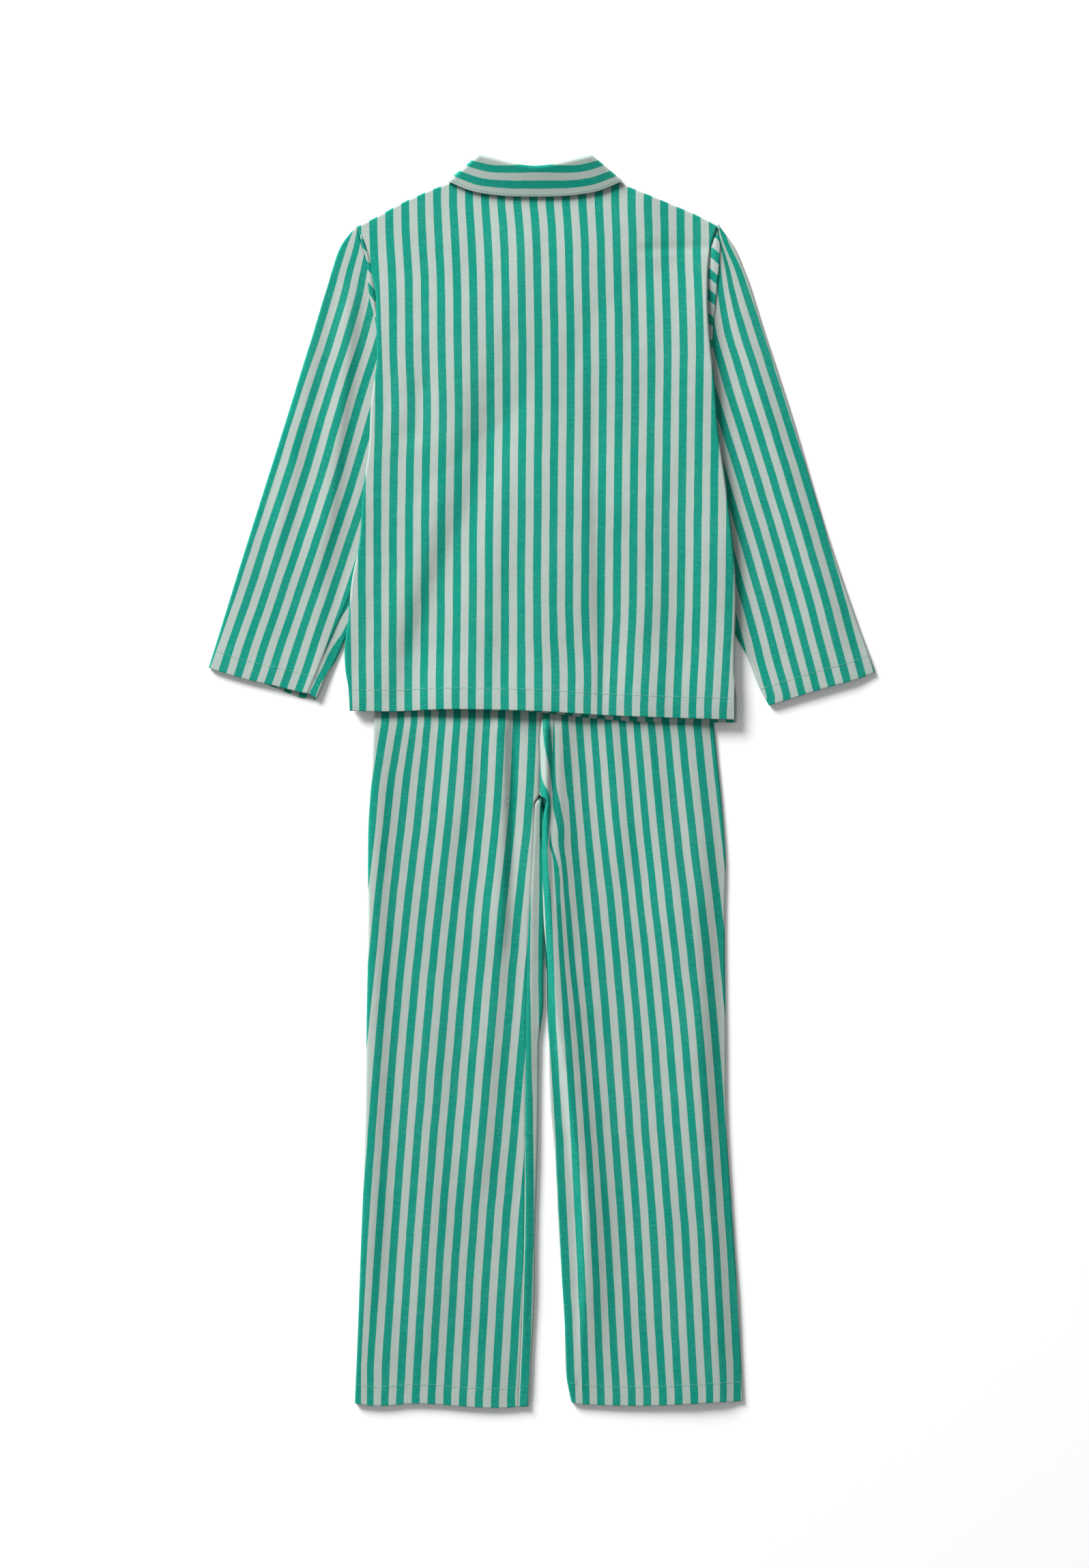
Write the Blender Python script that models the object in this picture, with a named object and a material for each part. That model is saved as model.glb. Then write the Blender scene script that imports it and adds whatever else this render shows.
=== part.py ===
"""A child's pyjama set laid flat with its back up: a buttoned jacket over the top of its trousers.

Metres, +Z up. X runs across the garments, Y runs from the trouser hems to the collar, and Z is the
height above the surface that the set lies on. Left and right are the wearer's. The tables and the
sizes below are in millimetres, in that same frame, and each piece of cloth is one closed solid.
"""

import math

import bmesh
import bpy
import numpy as np

MM = 0.001
BOX_CENTRE = np.array([0.04, 1.15, 0.0])  # the middle of the laid set, in the tables' millimetres

# ---- Cloth ------------------------------------------------------------------------------------

CLOTH = 1.2  # wall of one layer of the woven cotton
HALF = CLOTH / 2
SEAM_GAP = 0.3  # space kept between two pieces that touch
LOOSE = 1.8  # pitch of two layers that only lie on each other
PUFF = 1.0  # how far the upper layer stands off where nothing presses it
HEM_TURN = 0.4  # extra wall on the inside where a hem is turned in
ROLL_ANGLES = (0.0, 45.0, 90.0)  # steps of the wall round a folded or seamed edge
ROLL = 1.4  # radius of that edge

# ---- Jacket ------------------------------------------------------------------------------------

BACK_HEM = 20.0
FRONT_CENTRE = -3.0  # x of the line of the buttons
OVERLAP = 15.0  # how far each front reaches past that line
PLACKET_LIFT = 2.3  # the fronts ride over the buttons by this much
STACK_LIFT = 3.6  # the body rides over the trousers and the tucked sleeves by this much
CROWN = 3.5  # extra height of the back over the placket
WAIST_CLEAR = 256.0  # the body is lifted up to this far above the trousers' waist
SLEEVE_CLEAR = 12.0  # and this far past a tucked sleeve
FRONT_SLOPE = 30.0  # the fronts come down to the surface within this width
BACK_SLOPE = 110.0  # the back spans the step more widely
COLLAR_CENTRE = -6.4
COLLAR_LIFT = 1.8  # the neck of the body rides over the front leaf of the collar

# side of the body, then the armhole, from the hem up: y, x
BODY_LEFT = [
    (40, -180.5), (66, -179.8), (88, -181.1), (106, -183.7), (129, -184.0), (147, -181.4),
    (189, -177.3), (221, -170.9), (278, -166.4), (309, -161.9), (355, -159.4), (395, -154.2),
    (427, -154.6), (465, -156.8), (487, -163.4), (509, -170.4), (519.3, -173.0), (540, -178.0),
]  # fmt: skip
BODY_RIGHT = [
    (40, 180.5), (58, 179.8), (77, 179.2), (95, 175.4), (118, 176.6), (136, 179.8), (168, 181.1),
    (195, 180.5), (234, 177.3), (278, 171.8), (331, 164.5), (373, 161.3), (401, 158.1),
    (426, 155.9), (452, 154.9), (511, 161.3), (519.7, 164.5), (540, 172.0),
]  # fmt: skip
# back hem from left to right: x, y
BACK_HEM_LINE = [
    (-190, 66.0), (-138, 65.3), (-92, 67.2), (-39, 66.6), (1, 65.3), (52, 62.1), (115, 59.5),
    (190, 57.4),
]  # fmt: skip
# how far the right front shows below the back hem: x, drop
FRONT_DROP = [(-20, 0.0), (30, 2.6), (110, 4.5), (165, 3.0), (190, 2.5)]
# shoulder seams, neck side to sleeve side: x, y
SHOULDER_LEFT = [(-195, 505), (-173, 519.3), (-153.6, 529.3), (-136, 539), (-104, 553.6), (-69.4, 566)]
SHOULDER_RIGHT = [(56.6, 566), (87, 554.2), (123, 539.5), (146.6, 529.3), (164.5, 519.7), (190, 504)]
NECK_HALF = 63.0
BACK_NECK_DIP = 11.0
FRONT_NECK_DIP = 50.0
SLIT_TOP = 95.0  # the side seams stop here and leave a short vent
SLIT_SHOW = 2.6  # the right front stands out past the back at its vent
SLIT_SPREAD = 20.0
SLIT_EASE = (-4.0, 8.0)  # the side seam closes between these distances above the vent
FRONT_RISE = 2.0  # the left front's hem hides this far behind the back's
UNDERARM_LEVEL = (492.0, 442.0)  # the body lifts over the sleeves below these levels
NECK_LEVEL = (440.0, 466.0)  # and over the collar above these
NECK_SIDES = (118.0, 92.0)  # distance from the collar's centre over which that lift fades
PLACKET_SIDES = (52.0, OVERLAP + 2.0)  # distance from the buttons over which the placket fades
PLACKET_SIDES_INNER = (56.0, OVERLAP + 3.0)
PLACKET_LEVEL = (530.0, 515.0)
CROWN_SIDES = (135.0, 22.0)
CROWN_LEVEL = (550.0, 518.0)
UNDER_COLLAR = (556.0, 528.0)  # the collar presses the back flat above these levels
UNDER_COLLAR_SIDES = (80.0, 104.0)
ARMHOLE_LEVEL = (500.0, 455.0)  # the side seam's roll opens out between these
BODY_LEVELS = (256, 268, 280, 292)  # close rows over the trousers' waist
BODY_ROWS_LOW = 6
BODY_ROWS_HIGH = 9
BODY_CELLS = (6, 3, 2, 3, 6)  # columns between the sides, the neck and the overlap's edges
BODY_GUESS = (-180.0, 180.0)  # the body's sides, near enough to lay out its columns

SLEEVE_HEM = 17.0
SLEEVE_ROWS = 11
SLEEVE_COLUMNS = 8
# sleeve outlines, cuff to shoulder on the outer fold and cuff to underarm on the inner one: x, y
LEFT_OUTER = [
    (-311.9, 106.2), (-276.5, 221), (-236, 349), (-212.5, 425.6), (-197, 477), (-186, 505),
    (-174, 519.6),
]  # fmt: skip
LEFT_INNER = [
    (-210.8, 77.4), (-204, 93.4), (-194, 112.4), (-182, 140), (-165, 182), (-151, 236),
    (-140, 290), (-128, 340), (-114, 380),
]  # fmt: skip
LEFT_CUFF = [
    (-311.9, 106.2), (-295, 100.7), (-273.9, 94.8), (-252.5, 88.5), (-237.6, 86.4), (-210.8, 77.4),
]  # fmt: skip
LEFT_ARMHOLE = [
    (-174, 519.6), (-171.3, 509.1), (-164.6, 487), (-157.8, 464.6), (-155.4, 427), (-141, 400),
    (-114, 380),
]  # fmt: skip
RIGHT_OUTER = [
    (312, 102), (270.5, 221), (231.7, 349), (206.7, 425.6), (190, 477), (178.6, 503),
    (166.5, 519.8),
]  # fmt: skip
RIGHT_INNER = [
    (213.3, 71), (202.9, 91), (194, 114.6), (181.1, 140), (166, 182), (152.5, 236), (142, 290),
    (132, 340), (120, 380),
]  # fmt: skip
RIGHT_CUFF = [(312, 102), (301.8, 97.9), (266.9, 87.7), (240, 79.5), (213.3, 71)]
RIGHT_ARMHOLE = [
    (166.5, 519.8), (162.3, 511.4), (155.7, 452), (156.5, 424), (146, 400), (120, 380),
]  # fmt: skip
PLEAT_WIDTH = 7.0  # the sleeve head folds out this far beside the armhole seam
PLEAT_HEIGHT = 1.0
PLEAT_TOP = (515.0, 480.0)  # levels over which the pleat rises, from the shoulder down
PLEAT_FOOT = (425.0, 450.0)  # and from the underarm up
PLEAT_BESIDE = 2.0  # width of the slope beside it
PRESSED = (8.0, 30.0)  # the body presses its sleeves flat, easing within this distance of its side
PRESSED_BELOW = (480.0, 440.0)

# collar, mirrored about its centre: offset from the centre, y
BACK_ROLL = [
    (-52.0, 586.2), (-43.5, 584.4), (-22.4, 579.3), (0, 576.1), (22.4, 579.3), (43.5, 584.4),
    (52.0, 586.2),
]  # fmt: skip
BACK_LEAF_EDGE = [
    (-80.0, 562.6), (-60, 554.6), (-35, 550.4), (0, 549.1), (35, 550.4), (60, 554.6),
    (80.0, 562.6),
]  # fmt: skip
FRONT_ROLL = [(-52.0, 586.2), (-49, 566), (-37, 547), (-17, 534), (-0.8, 530)]
FRONT_LEAF_EDGE = [(-80.0, 562.6), (-79, 540), (-68, 510), (-45, 478)]
FRONT_SEAM_END = -0.8  # each half of the collar ends this far from its centre
COLLAR_PUFF = 1.5  # how far the leaf stands off what it lies on
COLLAR_AXIS = np.array([-0.67, 0.74])  # plan direction in which the side of the neck bulges
COLLAR_NECK_GAP = 2.0 * SEAM_GAP
COLLAR_FRONT_GAP = 2.5 * SEAM_GAP
FRONT_STATIONS = 7
BACK_STATIONS = 13
SIDE_TURNS = (-45, 0, 45)  # degrees round the side of the neck, from the front to the back
LEAF_SHARES = (0.33, 0.67, 1.0)

BUTTON_COUNT = 5
BUTTON_RADIUS = 5.5
BUTTON_THICK = 2.0
BUTTON_TOP = 500.0
BUTTON_PITCH = 92.5
BUTTON_HOLE = 0.8
BUTTON_HOLE_RING = 1.9
BUTTON_HOLES = 4
BUTTON_CHAMFER = 0.5
BUTTON_RIM = 1.5
BUTTON_DISH = 0.4
BUTTON_DISH_RIM = 2.1

# ---- Trousers ----------------------------------------------------------------------------------

LEG_HEM = 18.0
WAIST_SEAM = 216.0
WAIST_TOP = 244.0
CROTCH = -18.0
# outlines from the hem up: y, x
LEG_LEFT_OUTER = [
    (-600, -175.4), (-579, -174.7), (-534, -172.8), (-432, -169.0), (-330, -165.1), (-227, -163.8),
    (-125, -162.2), (-74, -162.6), (-22, -161.3), (3, -159.4), (65, -156.2), (120, -150),
    (180, -141), (216, -134), (250, -128),
]  # fmt: skip
LEG_LEFT_INNER = [
    (-600, -13.8), (-579, -12.2), (-534, -9.6), (-483, -7.2), (-432, -6.8), (-355, -4.5),
    (-266, -3.2), (-168, -3.2), (-77, -1.6), (-35, -0.5), (0, -0.5), (42, -0.5), (216, -0.5),
    (250, -0.5),
]  # fmt: skip
LEG_RIGHT_INNER = [
    (-600, 33.0), (-579, 27.5), (-560, 23.7), (-509, 21.8), (-458, 18.6), (-406, 15.4),
    (-355, 13.0), (-304, 8.6), (-221, 6.4), (-168, 5.2), (-134, 2.2), (-77, 0.6), (-35, 0.5),
    (0, 0.5), (42, 0.5), (216, 0.5), (250, 0.5),
]  # fmt: skip
LEG_RIGHT_OUTER = [
    (-600, 188.8), (-579, 188.2), (-534, 186.2), (-483, 183.7), (-432, 179.8), (-381, 176.6),
    (-330, 173.4), (-227, 172.0), (-125, 171.2), (-74, 172.0), (-22, 168.3), (29, 163.2),
    (65, 160.0), (120, 154), (180, 145), (216, 138), (250, 132),
]  # fmt: skip
# hems: x, y
LEG_LEFT_HEM = [
    (-190, -581), (-171, -583.4), (-158, -585), (-116, -583), (-97, -583.5), (-58, -586.2),
    (-26, -586.9), (0, -584.4),
]  # fmt: skip
LEG_RIGHT_HEM = [
    (20, -580), (31, -582.6), (54, -584.3), (92, -585), (130, -583.7), (162, -581.8),
    (195, -580.6),
]  # fmt: skip
LEG_LOOSE = (50.0, 20.0)  # the jacket presses the legs flat above these levels
LEG_ROWS_LOW = 15
LEG_ROWS_HIGH = 3
LEG_COLUMNS = 6
INSEAM_OPENS = (CROTCH + 6.0, CROTCH - 12.0)  # below these levels each leg has its own inner edge
WAIST_ROWS = 4
WAIST_COLUMNS = 10

# ---- Folds pressed into the upper layers: half width, height, path of x, y ----------------------

BACK_FOLDS = [
    (17, -1.3, [(-48, 400), (-73, 304), (-105, 221), (-131, 144), (-137, 99)]),
    (18, 1.6, [(-44, 330), (-73, 195), (-88, 110), (-92, 60)]),
    (12, -1.1, [(45, 350), (50, 200), (55, 30)]),
    (20, 1.3, [(128, 490), (130, 420), (128, 350)]),
    (26, 1.4, [(100, 170), (118, 110), (130, 20)]),
]
LEFT_SLEEVE_FOLDS = [
    (14, 1.4, [(-186, 440), (-196, 390), (-209, 290)]),
    (13, -0.9, [(-207, 419), (-220, 323), (-239, 246), (-252, 150)]),
]
RIGHT_SLEEVE_FOLDS = [(20, 1.4, [(216, 410), (247, 195), (272, 60)])]
LEFT_LEG_FOLDS = [
    (18, 1.2, [(-108, 60), (-108, -10), (-112, -80)]),
    (16, -1.0, [(-26, 60), (-31, -99), (-35, -195), (-42, -340)]),
    (20, 1.2, [(-70, -120), (-84, -330), (-92, -520)]),
]
RIGHT_LEG_FOLDS = [
    (12, -1.2, [(20, 60), (20, -189), (33, -240), (49, -355), (55, -483), (49, -560)]),
    (24, 1.6, [(80, 60), (106, -67), (132, -227), (146, -360)]),
]

# ---- Colours: the stripes' mean, linear ---------------------------------------------------------

COTTON = (0.16, 0.46, 0.34, 1.0)
BUTTON_COLOUR = (0.62, 0.68, 0.63, 1.0)
COTTON_ROUGHNESS = 0.85
BUTTON_ROUGHNESS = 0.35


# ---- Small tools --------------------------------------------------------------------------------


def ramp(value, zero, one):
    """A smooth step: 0 where value is at or before zero, 1 at or past one."""
    f = np.clip((value - zero) / (one - zero), 0.0, 1.0)
    return f * f * (3 - 2 * f)


def curve(rows):
    """A smooth function through the rows (t, value), with t rising."""
    t, value = np.array(rows, float).T
    slope = np.gradient(value, t)

    def at(where):
        where = np.clip(where, t[0], t[-1])
        i = np.clip(np.searchsorted(t, where) - 1, 0, len(t) - 2)
        h = t[i + 1] - t[i]
        f = (where - t[i]) / h
        start = (1 + 2 * f) * (1 - f) ** 2 * value[i] + f * (1 - f) ** 2 * h * slope[i]
        end = f * f * (3 - 2 * f) * value[i + 1] - f * f * (1 - f) * h * slope[i + 1]
        return start + end

    return at


def line_through(points):
    """A function of 0..1, by length, along a smooth curve through the plan points."""
    points = np.array(points, float)
    along = np.concatenate([[0], np.cumsum(np.linalg.norm(np.diff(points, axis=0), axis=1))])
    along /= along[-1]
    x = curve(list(zip(along, points[:, 0])))
    y = curve(list(zip(along, points[:, 1])))
    return lambda t: np.array([x(t), y(t)])


def fold_height(folds, x, y):
    """The summed height of the folds at x, y; each fades out towards its two ends."""
    total = np.zeros(np.broadcast(x, y).shape)
    for width, height, path in folds:
        path = np.array(path, float)
        lengths = np.linalg.norm(np.diff(path, axis=0), axis=1)
        starts = np.concatenate([[0], np.cumsum(lengths)])
        nearest = np.full(total.shape, np.inf)
        along = np.zeros(total.shape)
        for i, length in enumerate(lengths):
            step = (path[i + 1] - path[i]) / length
            f = np.clip((x - path[i, 0]) * step[0] + (y - path[i, 1]) * step[1], 0, length)
            distance = np.hypot(x - path[i, 0] - f * step[0], y - path[i, 1] - f * step[1])
            closer = distance < nearest
            nearest = np.where(closer, distance, nearest)
            along = np.where(closer, (starts[i] + f) / starts[-1], along)
        fade = ramp(along, 0.0, 0.25) * ramp(along, 1.0, 0.8)
        total += height * np.exp(-((nearest / width) ** 2)) * fade
    return total


def even(stops, counts):
    """Positions through the stops, with that many even cells between each two."""
    parts = [np.linspace(a, b, n, endpoint=False) for a, b, n in zip(stops, stops[1:], counts)]
    return np.concatenate(parts + [[stops[-1]]])


def rolled(start, end, stops, counts):
    """As even(), with the narrow columns of a rolled edge at both ends."""
    steps = [ROLL * (1 - math.cos(math.radians(a))) for a in ROLL_ANGLES]
    inner = even([start + ROLL, *stops, end - ROLL], counts)
    return np.concatenate([[start + s for s in steps[:-1]], inner, [end - s for s in steps[-2::-1]]])


def meet(edge, row, guess):
    """The crossing of the edge x = edge(y) with the row y = row(x)."""
    x = guess
    for _ in range(40):
        x = 0.5 * x + 0.5 * float(edge(row(x)))
    return x


def plan_grid(left, right, row_count, row, columns):
    """Plan points [row, column, xy] of a panel between two edges; row(j, x) gives a row's y."""
    rows = []
    for j in range(row_count):
        start = meet(left, lambda x: row(j, x), float(left(row(j, 0.0))))
        end = meet(right, lambda x: row(j, x), float(right(row(j, 0.0))))
        xs = columns(start, end)
        rows.append(np.stack([xs, [row(j, x) for x in xs]], axis=1))
    return np.array(rows)


def surface_normals(points):
    """Unit normals of a grid of points, by differences, on the side of +Z for a flat grid."""
    across = np.gradient(points, axis=1)
    along = np.gradient(points, axis=0)
    normal = np.cross(across, along)
    return normal / np.linalg.norm(normal, axis=2, keepdims=True)


# ---- Solids -------------------------------------------------------------------------------------


def cloth_material(name, colour=COTTON, roughness=COTTON_ROUGHNESS):
    material = bpy.data.materials.new(name)
    material.use_nodes = True
    shader = material.node_tree.nodes["Principled BSDF"]
    shader.inputs["Base Color"].default_value = colour
    shader.inputs["Roughness"].default_value = roughness
    shader.inputs["Metallic"].default_value = 0.0
    material.diffuse_color = colour
    return material


def add_object(name, mesh, material):
    mesh.name = name
    mesh.materials.append(material)
    mesh.shade_smooth()
    mesh.set_sharp_from_angle(angle=math.radians(50))
    obj = bpy.data.objects.new(name, mesh)
    bpy.context.scene.collection.objects.link(obj)
    return obj


def wall(name, middle, normals, inner_extra, material, ring=False):
    """A closed wall about a grid of middle points; inner_extra thickens the side away from normals.

    With ring, the columns close on themselves and only the two end rows have a rim.
    """
    rows, columns = middle.shape[:2]
    outer = middle + normals * HALF
    inner = middle - normals * (HALF + inner_extra[..., None])
    build = bmesh.new()
    sides = []
    for grid in (outer, inner):
        sides.append([[build.verts.new((p - BOX_CENTRE) * MM) for p in line] for line in grid])
    out, back = sides
    last = columns if ring else columns - 1
    for j in range(rows - 1):
        for i in range(last):
            k = (i + 1) % columns
            build.faces.new((out[j][i], out[j][k], out[j + 1][k], out[j + 1][i]))
            build.faces.new((back[j][i], back[j + 1][i], back[j + 1][k], back[j][k]))
    for i in range(last):
        k = (i + 1) % columns
        build.faces.new((out[0][k], out[0][i], back[0][i], back[0][k]))
        build.faces.new((out[-1][i], out[-1][k], back[-1][k], back[-1][i]))
    if not ring:
        for j in range(rows - 1):
            build.faces.new((out[j][0], out[j + 1][0], back[j + 1][0], back[j][0]))
            build.faces.new((out[j + 1][-1], out[j][-1], back[j][-1], back[j + 1][-1]))
    bmesh.ops.recalc_face_normals(build, faces=build.faces)
    mesh = bpy.data.meshes.new(name)
    build.to_mesh(mesh)
    build.free()
    return add_object(name, mesh, material)


def roll_angles(count, start_rolls, end_rolls):
    """For each of count columns, the angle round its edge: 90 degrees away from a rolled edge."""
    angles = np.full(count, 90.0)
    if start_rolls:
        angles[: len(ROLL_ANGLES)] = ROLL_ANGLES
    if end_rolls:
        angles[-len(ROLL_ANGLES) :] = ROLL_ANGLES[::-1]
    return np.radians(angles)


def outward_across(plan):
    """Unit plan vectors that point off each row's nearer end."""
    step = np.gradient(plan, axis=1)
    step /= np.linalg.norm(step, axis=2, keepdims=True)
    half = plan.shape[1] // 2
    step[:, :half] *= -1
    return np.dstack([step, np.zeros(plan.shape[:2])])


def outward_up(plan):
    """Unit plan vectors that point off the last row."""
    step = np.gradient(plan, axis=0)
    step /= np.linalg.norm(step, axis=2, keepdims=True)
    return np.dstack([step, np.zeros(plan.shape[:2])])


def rolled_sheet(plan, height, seam_height, side, across_roll, up_roll=None):
    """Middle points and outward normals of one layer whose edges roll to the seam with the other.

    side is 1 for an upper layer and -1 for a lower one. across_roll and up_roll hold, for each
    point, the angle round the side edges and round the top edge.
    """
    up_roll = np.full(plan.shape[:2], math.pi / 2) if up_roll is None else up_roll
    rise = np.minimum(np.sin(across_roll), np.sin(up_roll))
    z = seam_height + (height - seam_height) * rise
    z = z + side * SEAM_GAP / 2 * (1 - rise)
    points = np.dstack([plan, z])
    flat = np.dstack([plan, height])
    normal = side * surface_normals(flat) * rise[..., None]
    normal = normal + outward_across(plan) * np.cos(across_roll)[..., None]
    normal = normal + outward_up(plan) * np.cos(up_roll)[..., None]
    return points, normal / np.linalg.norm(normal, axis=2, keepdims=True)


def hem_extra(plan, hem_line, depth):
    """The extra wall of a turned hem: full below its stitching, none above."""
    above = plan[..., 1] - hem_line(plan[..., 0])
    return HEM_TURN * ramp(above, depth + 1.0, depth)


# ---- The stack of layers ------------------------------------------------------------------------

body_left = curve(BODY_LEFT)
body_right = curve(BODY_RIGHT)
back_hem = curve(BACK_HEM_LINE)
left_inner_fold = curve([(y, x) for x, y in LEFT_INNER])
right_inner_fold = curve([(y, x) for x, y in RIGHT_INNER])


def over_sleeves(x, y, slope):
    """1 where the body lies on a tucked sleeve, falling to 0 within slope beside it."""
    left = ramp(x, left_inner_fold(y) + SLEEVE_CLEAR + slope, left_inner_fold(y) + SLEEVE_CLEAR)
    right = ramp(x, right_inner_fold(y) - SLEEVE_CLEAR - slope, right_inner_fold(y) - SLEEVE_CLEAR)
    return np.maximum(left, right) * ramp(y, *UNDERARM_LEVEL)


def body_lift(x, y, slope):
    """How far the body is above the surface that the set lies on, with slopes that wide."""
    over_waist = ramp(y, WAIST_CLEAR + slope, WAIST_CLEAR)
    stacked = STACK_LIFT * np.maximum(over_waist, over_sleeves(x, y, slope))
    neck = COLLAR_LIFT * ramp(y, *NECK_LEVEL) * ramp(abs(x - COLLAR_CENTRE), *NECK_SIDES)
    return np.maximum(stacked, neck)


def front_height(x, y):
    """Middle height of the outer front."""
    placket = PLACKET_LIFT * ramp(abs(x - FRONT_CENTRE), *PLACKET_SIDES)
    return HALF + body_lift(x, y, FRONT_SLOPE) + placket * ramp(y, *PLACKET_LEVEL)


def inner_front_height(x, y):
    """Middle height of the front that buttons under the other."""
    return front_height(x, y) + LOOSE * ramp(x - FRONT_CENTRE, *PLACKET_SIDES_INNER)


def back_height(x, y):
    """Middle height of the back, over the fronts."""
    below_collar = ramp(y, *UNDER_COLLAR)
    free = below_collar + (1 - below_collar) * ramp(abs(x - COLLAR_CENTRE), *UNDER_COLLAR_SIDES)
    crown = CROWN * ramp(abs(x - FRONT_CENTRE), *CROWN_SIDES) * ramp(y, *CROWN_LEVEL)
    folds = fold_height(BACK_FOLDS, x, y)
    return HALF + body_lift(x, y, BACK_SLOPE) + LOOSE + PUFF * free + crown + folds


def leg_top_height(folds):
    """Middle height of the back of a leg: pressed under the jacket, loose below its hem."""

    def height(x, y):
        loose = ramp(y, *LEG_LOOSE)
        return HALF + LOOSE + (PUFF + fold_height(folds, x, y)) * loose

    return height


# ---- Jacket -------------------------------------------------------------------------------------


def body_row(neck_dip):
    """The rows of the body: even levels up to the waist, then up to the shoulders and the neck."""
    shoulder_left = curve(SHOULDER_LEFT)
    shoulder_right = curve(SHOULDER_RIGHT)
    shoulder_y = SHOULDER_RIGHT[0][1]

    def top(x):
        offset = x - COLLAR_CENTRE
        if offset <= -NECK_HALF:
            return float(shoulder_left(x))
        if offset >= NECK_HALF:
            return float(shoulder_right(x))
        return shoulder_y - neck_dip * (1 - (offset / NECK_HALF) ** 2)

    steps = [ROLL * (1 - math.cos(math.radians(a))) for a in ROLL_ANGLES]
    count = BODY_ROWS_LOW + len(BODY_LEVELS) + BODY_ROWS_HIGH + len(steps)

    def row(j, x):
        low = float(back_hem(x))
        high = top(x)
        ys = [low, *even([low + BACK_HEM, BODY_LEVELS[0]], [BODY_ROWS_LOW])[:-1], *BODY_LEVELS[:-1]]
        ys += list(even([BODY_LEVELS[-1], high - ROLL], [BODY_ROWS_HIGH])[:-1])
        ys += [high - s for s in steps[::-1]]
        return ys[j]

    return row, count


def body_columns(start, end):
    """Columns of the body: rolled sides, with lines at the neck and at both edges of the overlap."""
    stops = [
        COLLAR_CENTRE - NECK_HALF,
        FRONT_CENTRE - OVERLAP,
        FRONT_CENTRE + OVERLAP,
        COLLAR_CENTRE + NECK_HALF,
    ]
    return rolled(start, end, stops, BODY_CELLS)


def body_rolls(plan):
    """Angles round the side seams, open at the vents and the armholes, and round the shoulders."""
    count = plan.shape[1]
    angle = roll_angles(count, True, True)[None, :]
    y = plan[..., 1]
    closed = ramp(y - SLIT_TOP, *SLIT_EASE)
    seamed = closed * ramp(y, *ARMHOLE_LEVEL)
    across = math.pi / 2 - (math.pi / 2 - angle) * seamed
    rows = plan.shape[0]
    up = roll_angles(rows, False, True)[:, None]
    beside_neck = abs(plan[..., 0] - COLLAR_CENTRE) > NECK_HALF - 0.5
    return across, np.where(beside_neck, up, math.pi / 2)


def jacket_back():
    row, count = body_row(BACK_NECK_DIP)
    plan = plan_grid(body_left, body_right, count, row, body_columns)
    x, y = plan[..., 0], plan[..., 1]
    height = back_height(x, y)
    seam = (height + front_height(x, y)) / 2
    points, normals = rolled_sheet(plan, height, seam, 1, *body_rolls(plan))
    extra = hem_extra(plan, back_hem, BACK_HEM)
    wall("jacket_back", points, normals, extra, cloth_material("jacket_back_cotton"))


def jacket_front(name, first, last, height_at, hem_shift, vent_show):
    """One front: the body's columns from first to last, with its own hem and vent edge."""
    row, count = body_row(FRONT_NECK_DIP)
    plan = plan_grid(body_left, body_right, count, row, body_columns)
    x, y = plan[..., 0], plan[..., 1]
    height = height_at(x, y)
    seam = (back_height(x, y) + height) / 2
    across, up = body_rolls(plan)
    plan[0, :, 1] += hem_shift(plan[0, :, 0])
    plan[:, -1, 0] += vent_show * ramp(plan[:, -1, 1], SLIT_TOP - SLIT_EASE[0], SLIT_TOP - SLIT_SPREAD)
    points, normals = rolled_sheet(plan, height, seam, -1, across, up)
    extra = hem_extra(plan, back_hem, BACK_HEM)
    piece = slice(first, last)
    wall(name, points[:, piece], normals[:, piece], extra[:, piece], cloth_material(name + "_cotton"))


def jacket_fronts():
    columns = len(body_columns(*BODY_GUESS))
    left_of_overlap = len(ROLL_ANGLES) - 1 + BODY_CELLS[0] + BODY_CELLS[1]
    overlap_cells = BODY_CELLS[2]
    right_drop = curve(FRONT_DROP)
    jacket_front("jacket_front_left", 0, left_of_overlap + overlap_cells + 1, front_height,
                 lambda x: FRONT_RISE + 0 * x, 0.0)  # fmt: skip
    jacket_front("jacket_front_right", left_of_overlap, columns, inner_front_height,
                 lambda x: -right_drop(x), SLIT_SHOW)  # fmt: skip


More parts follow.
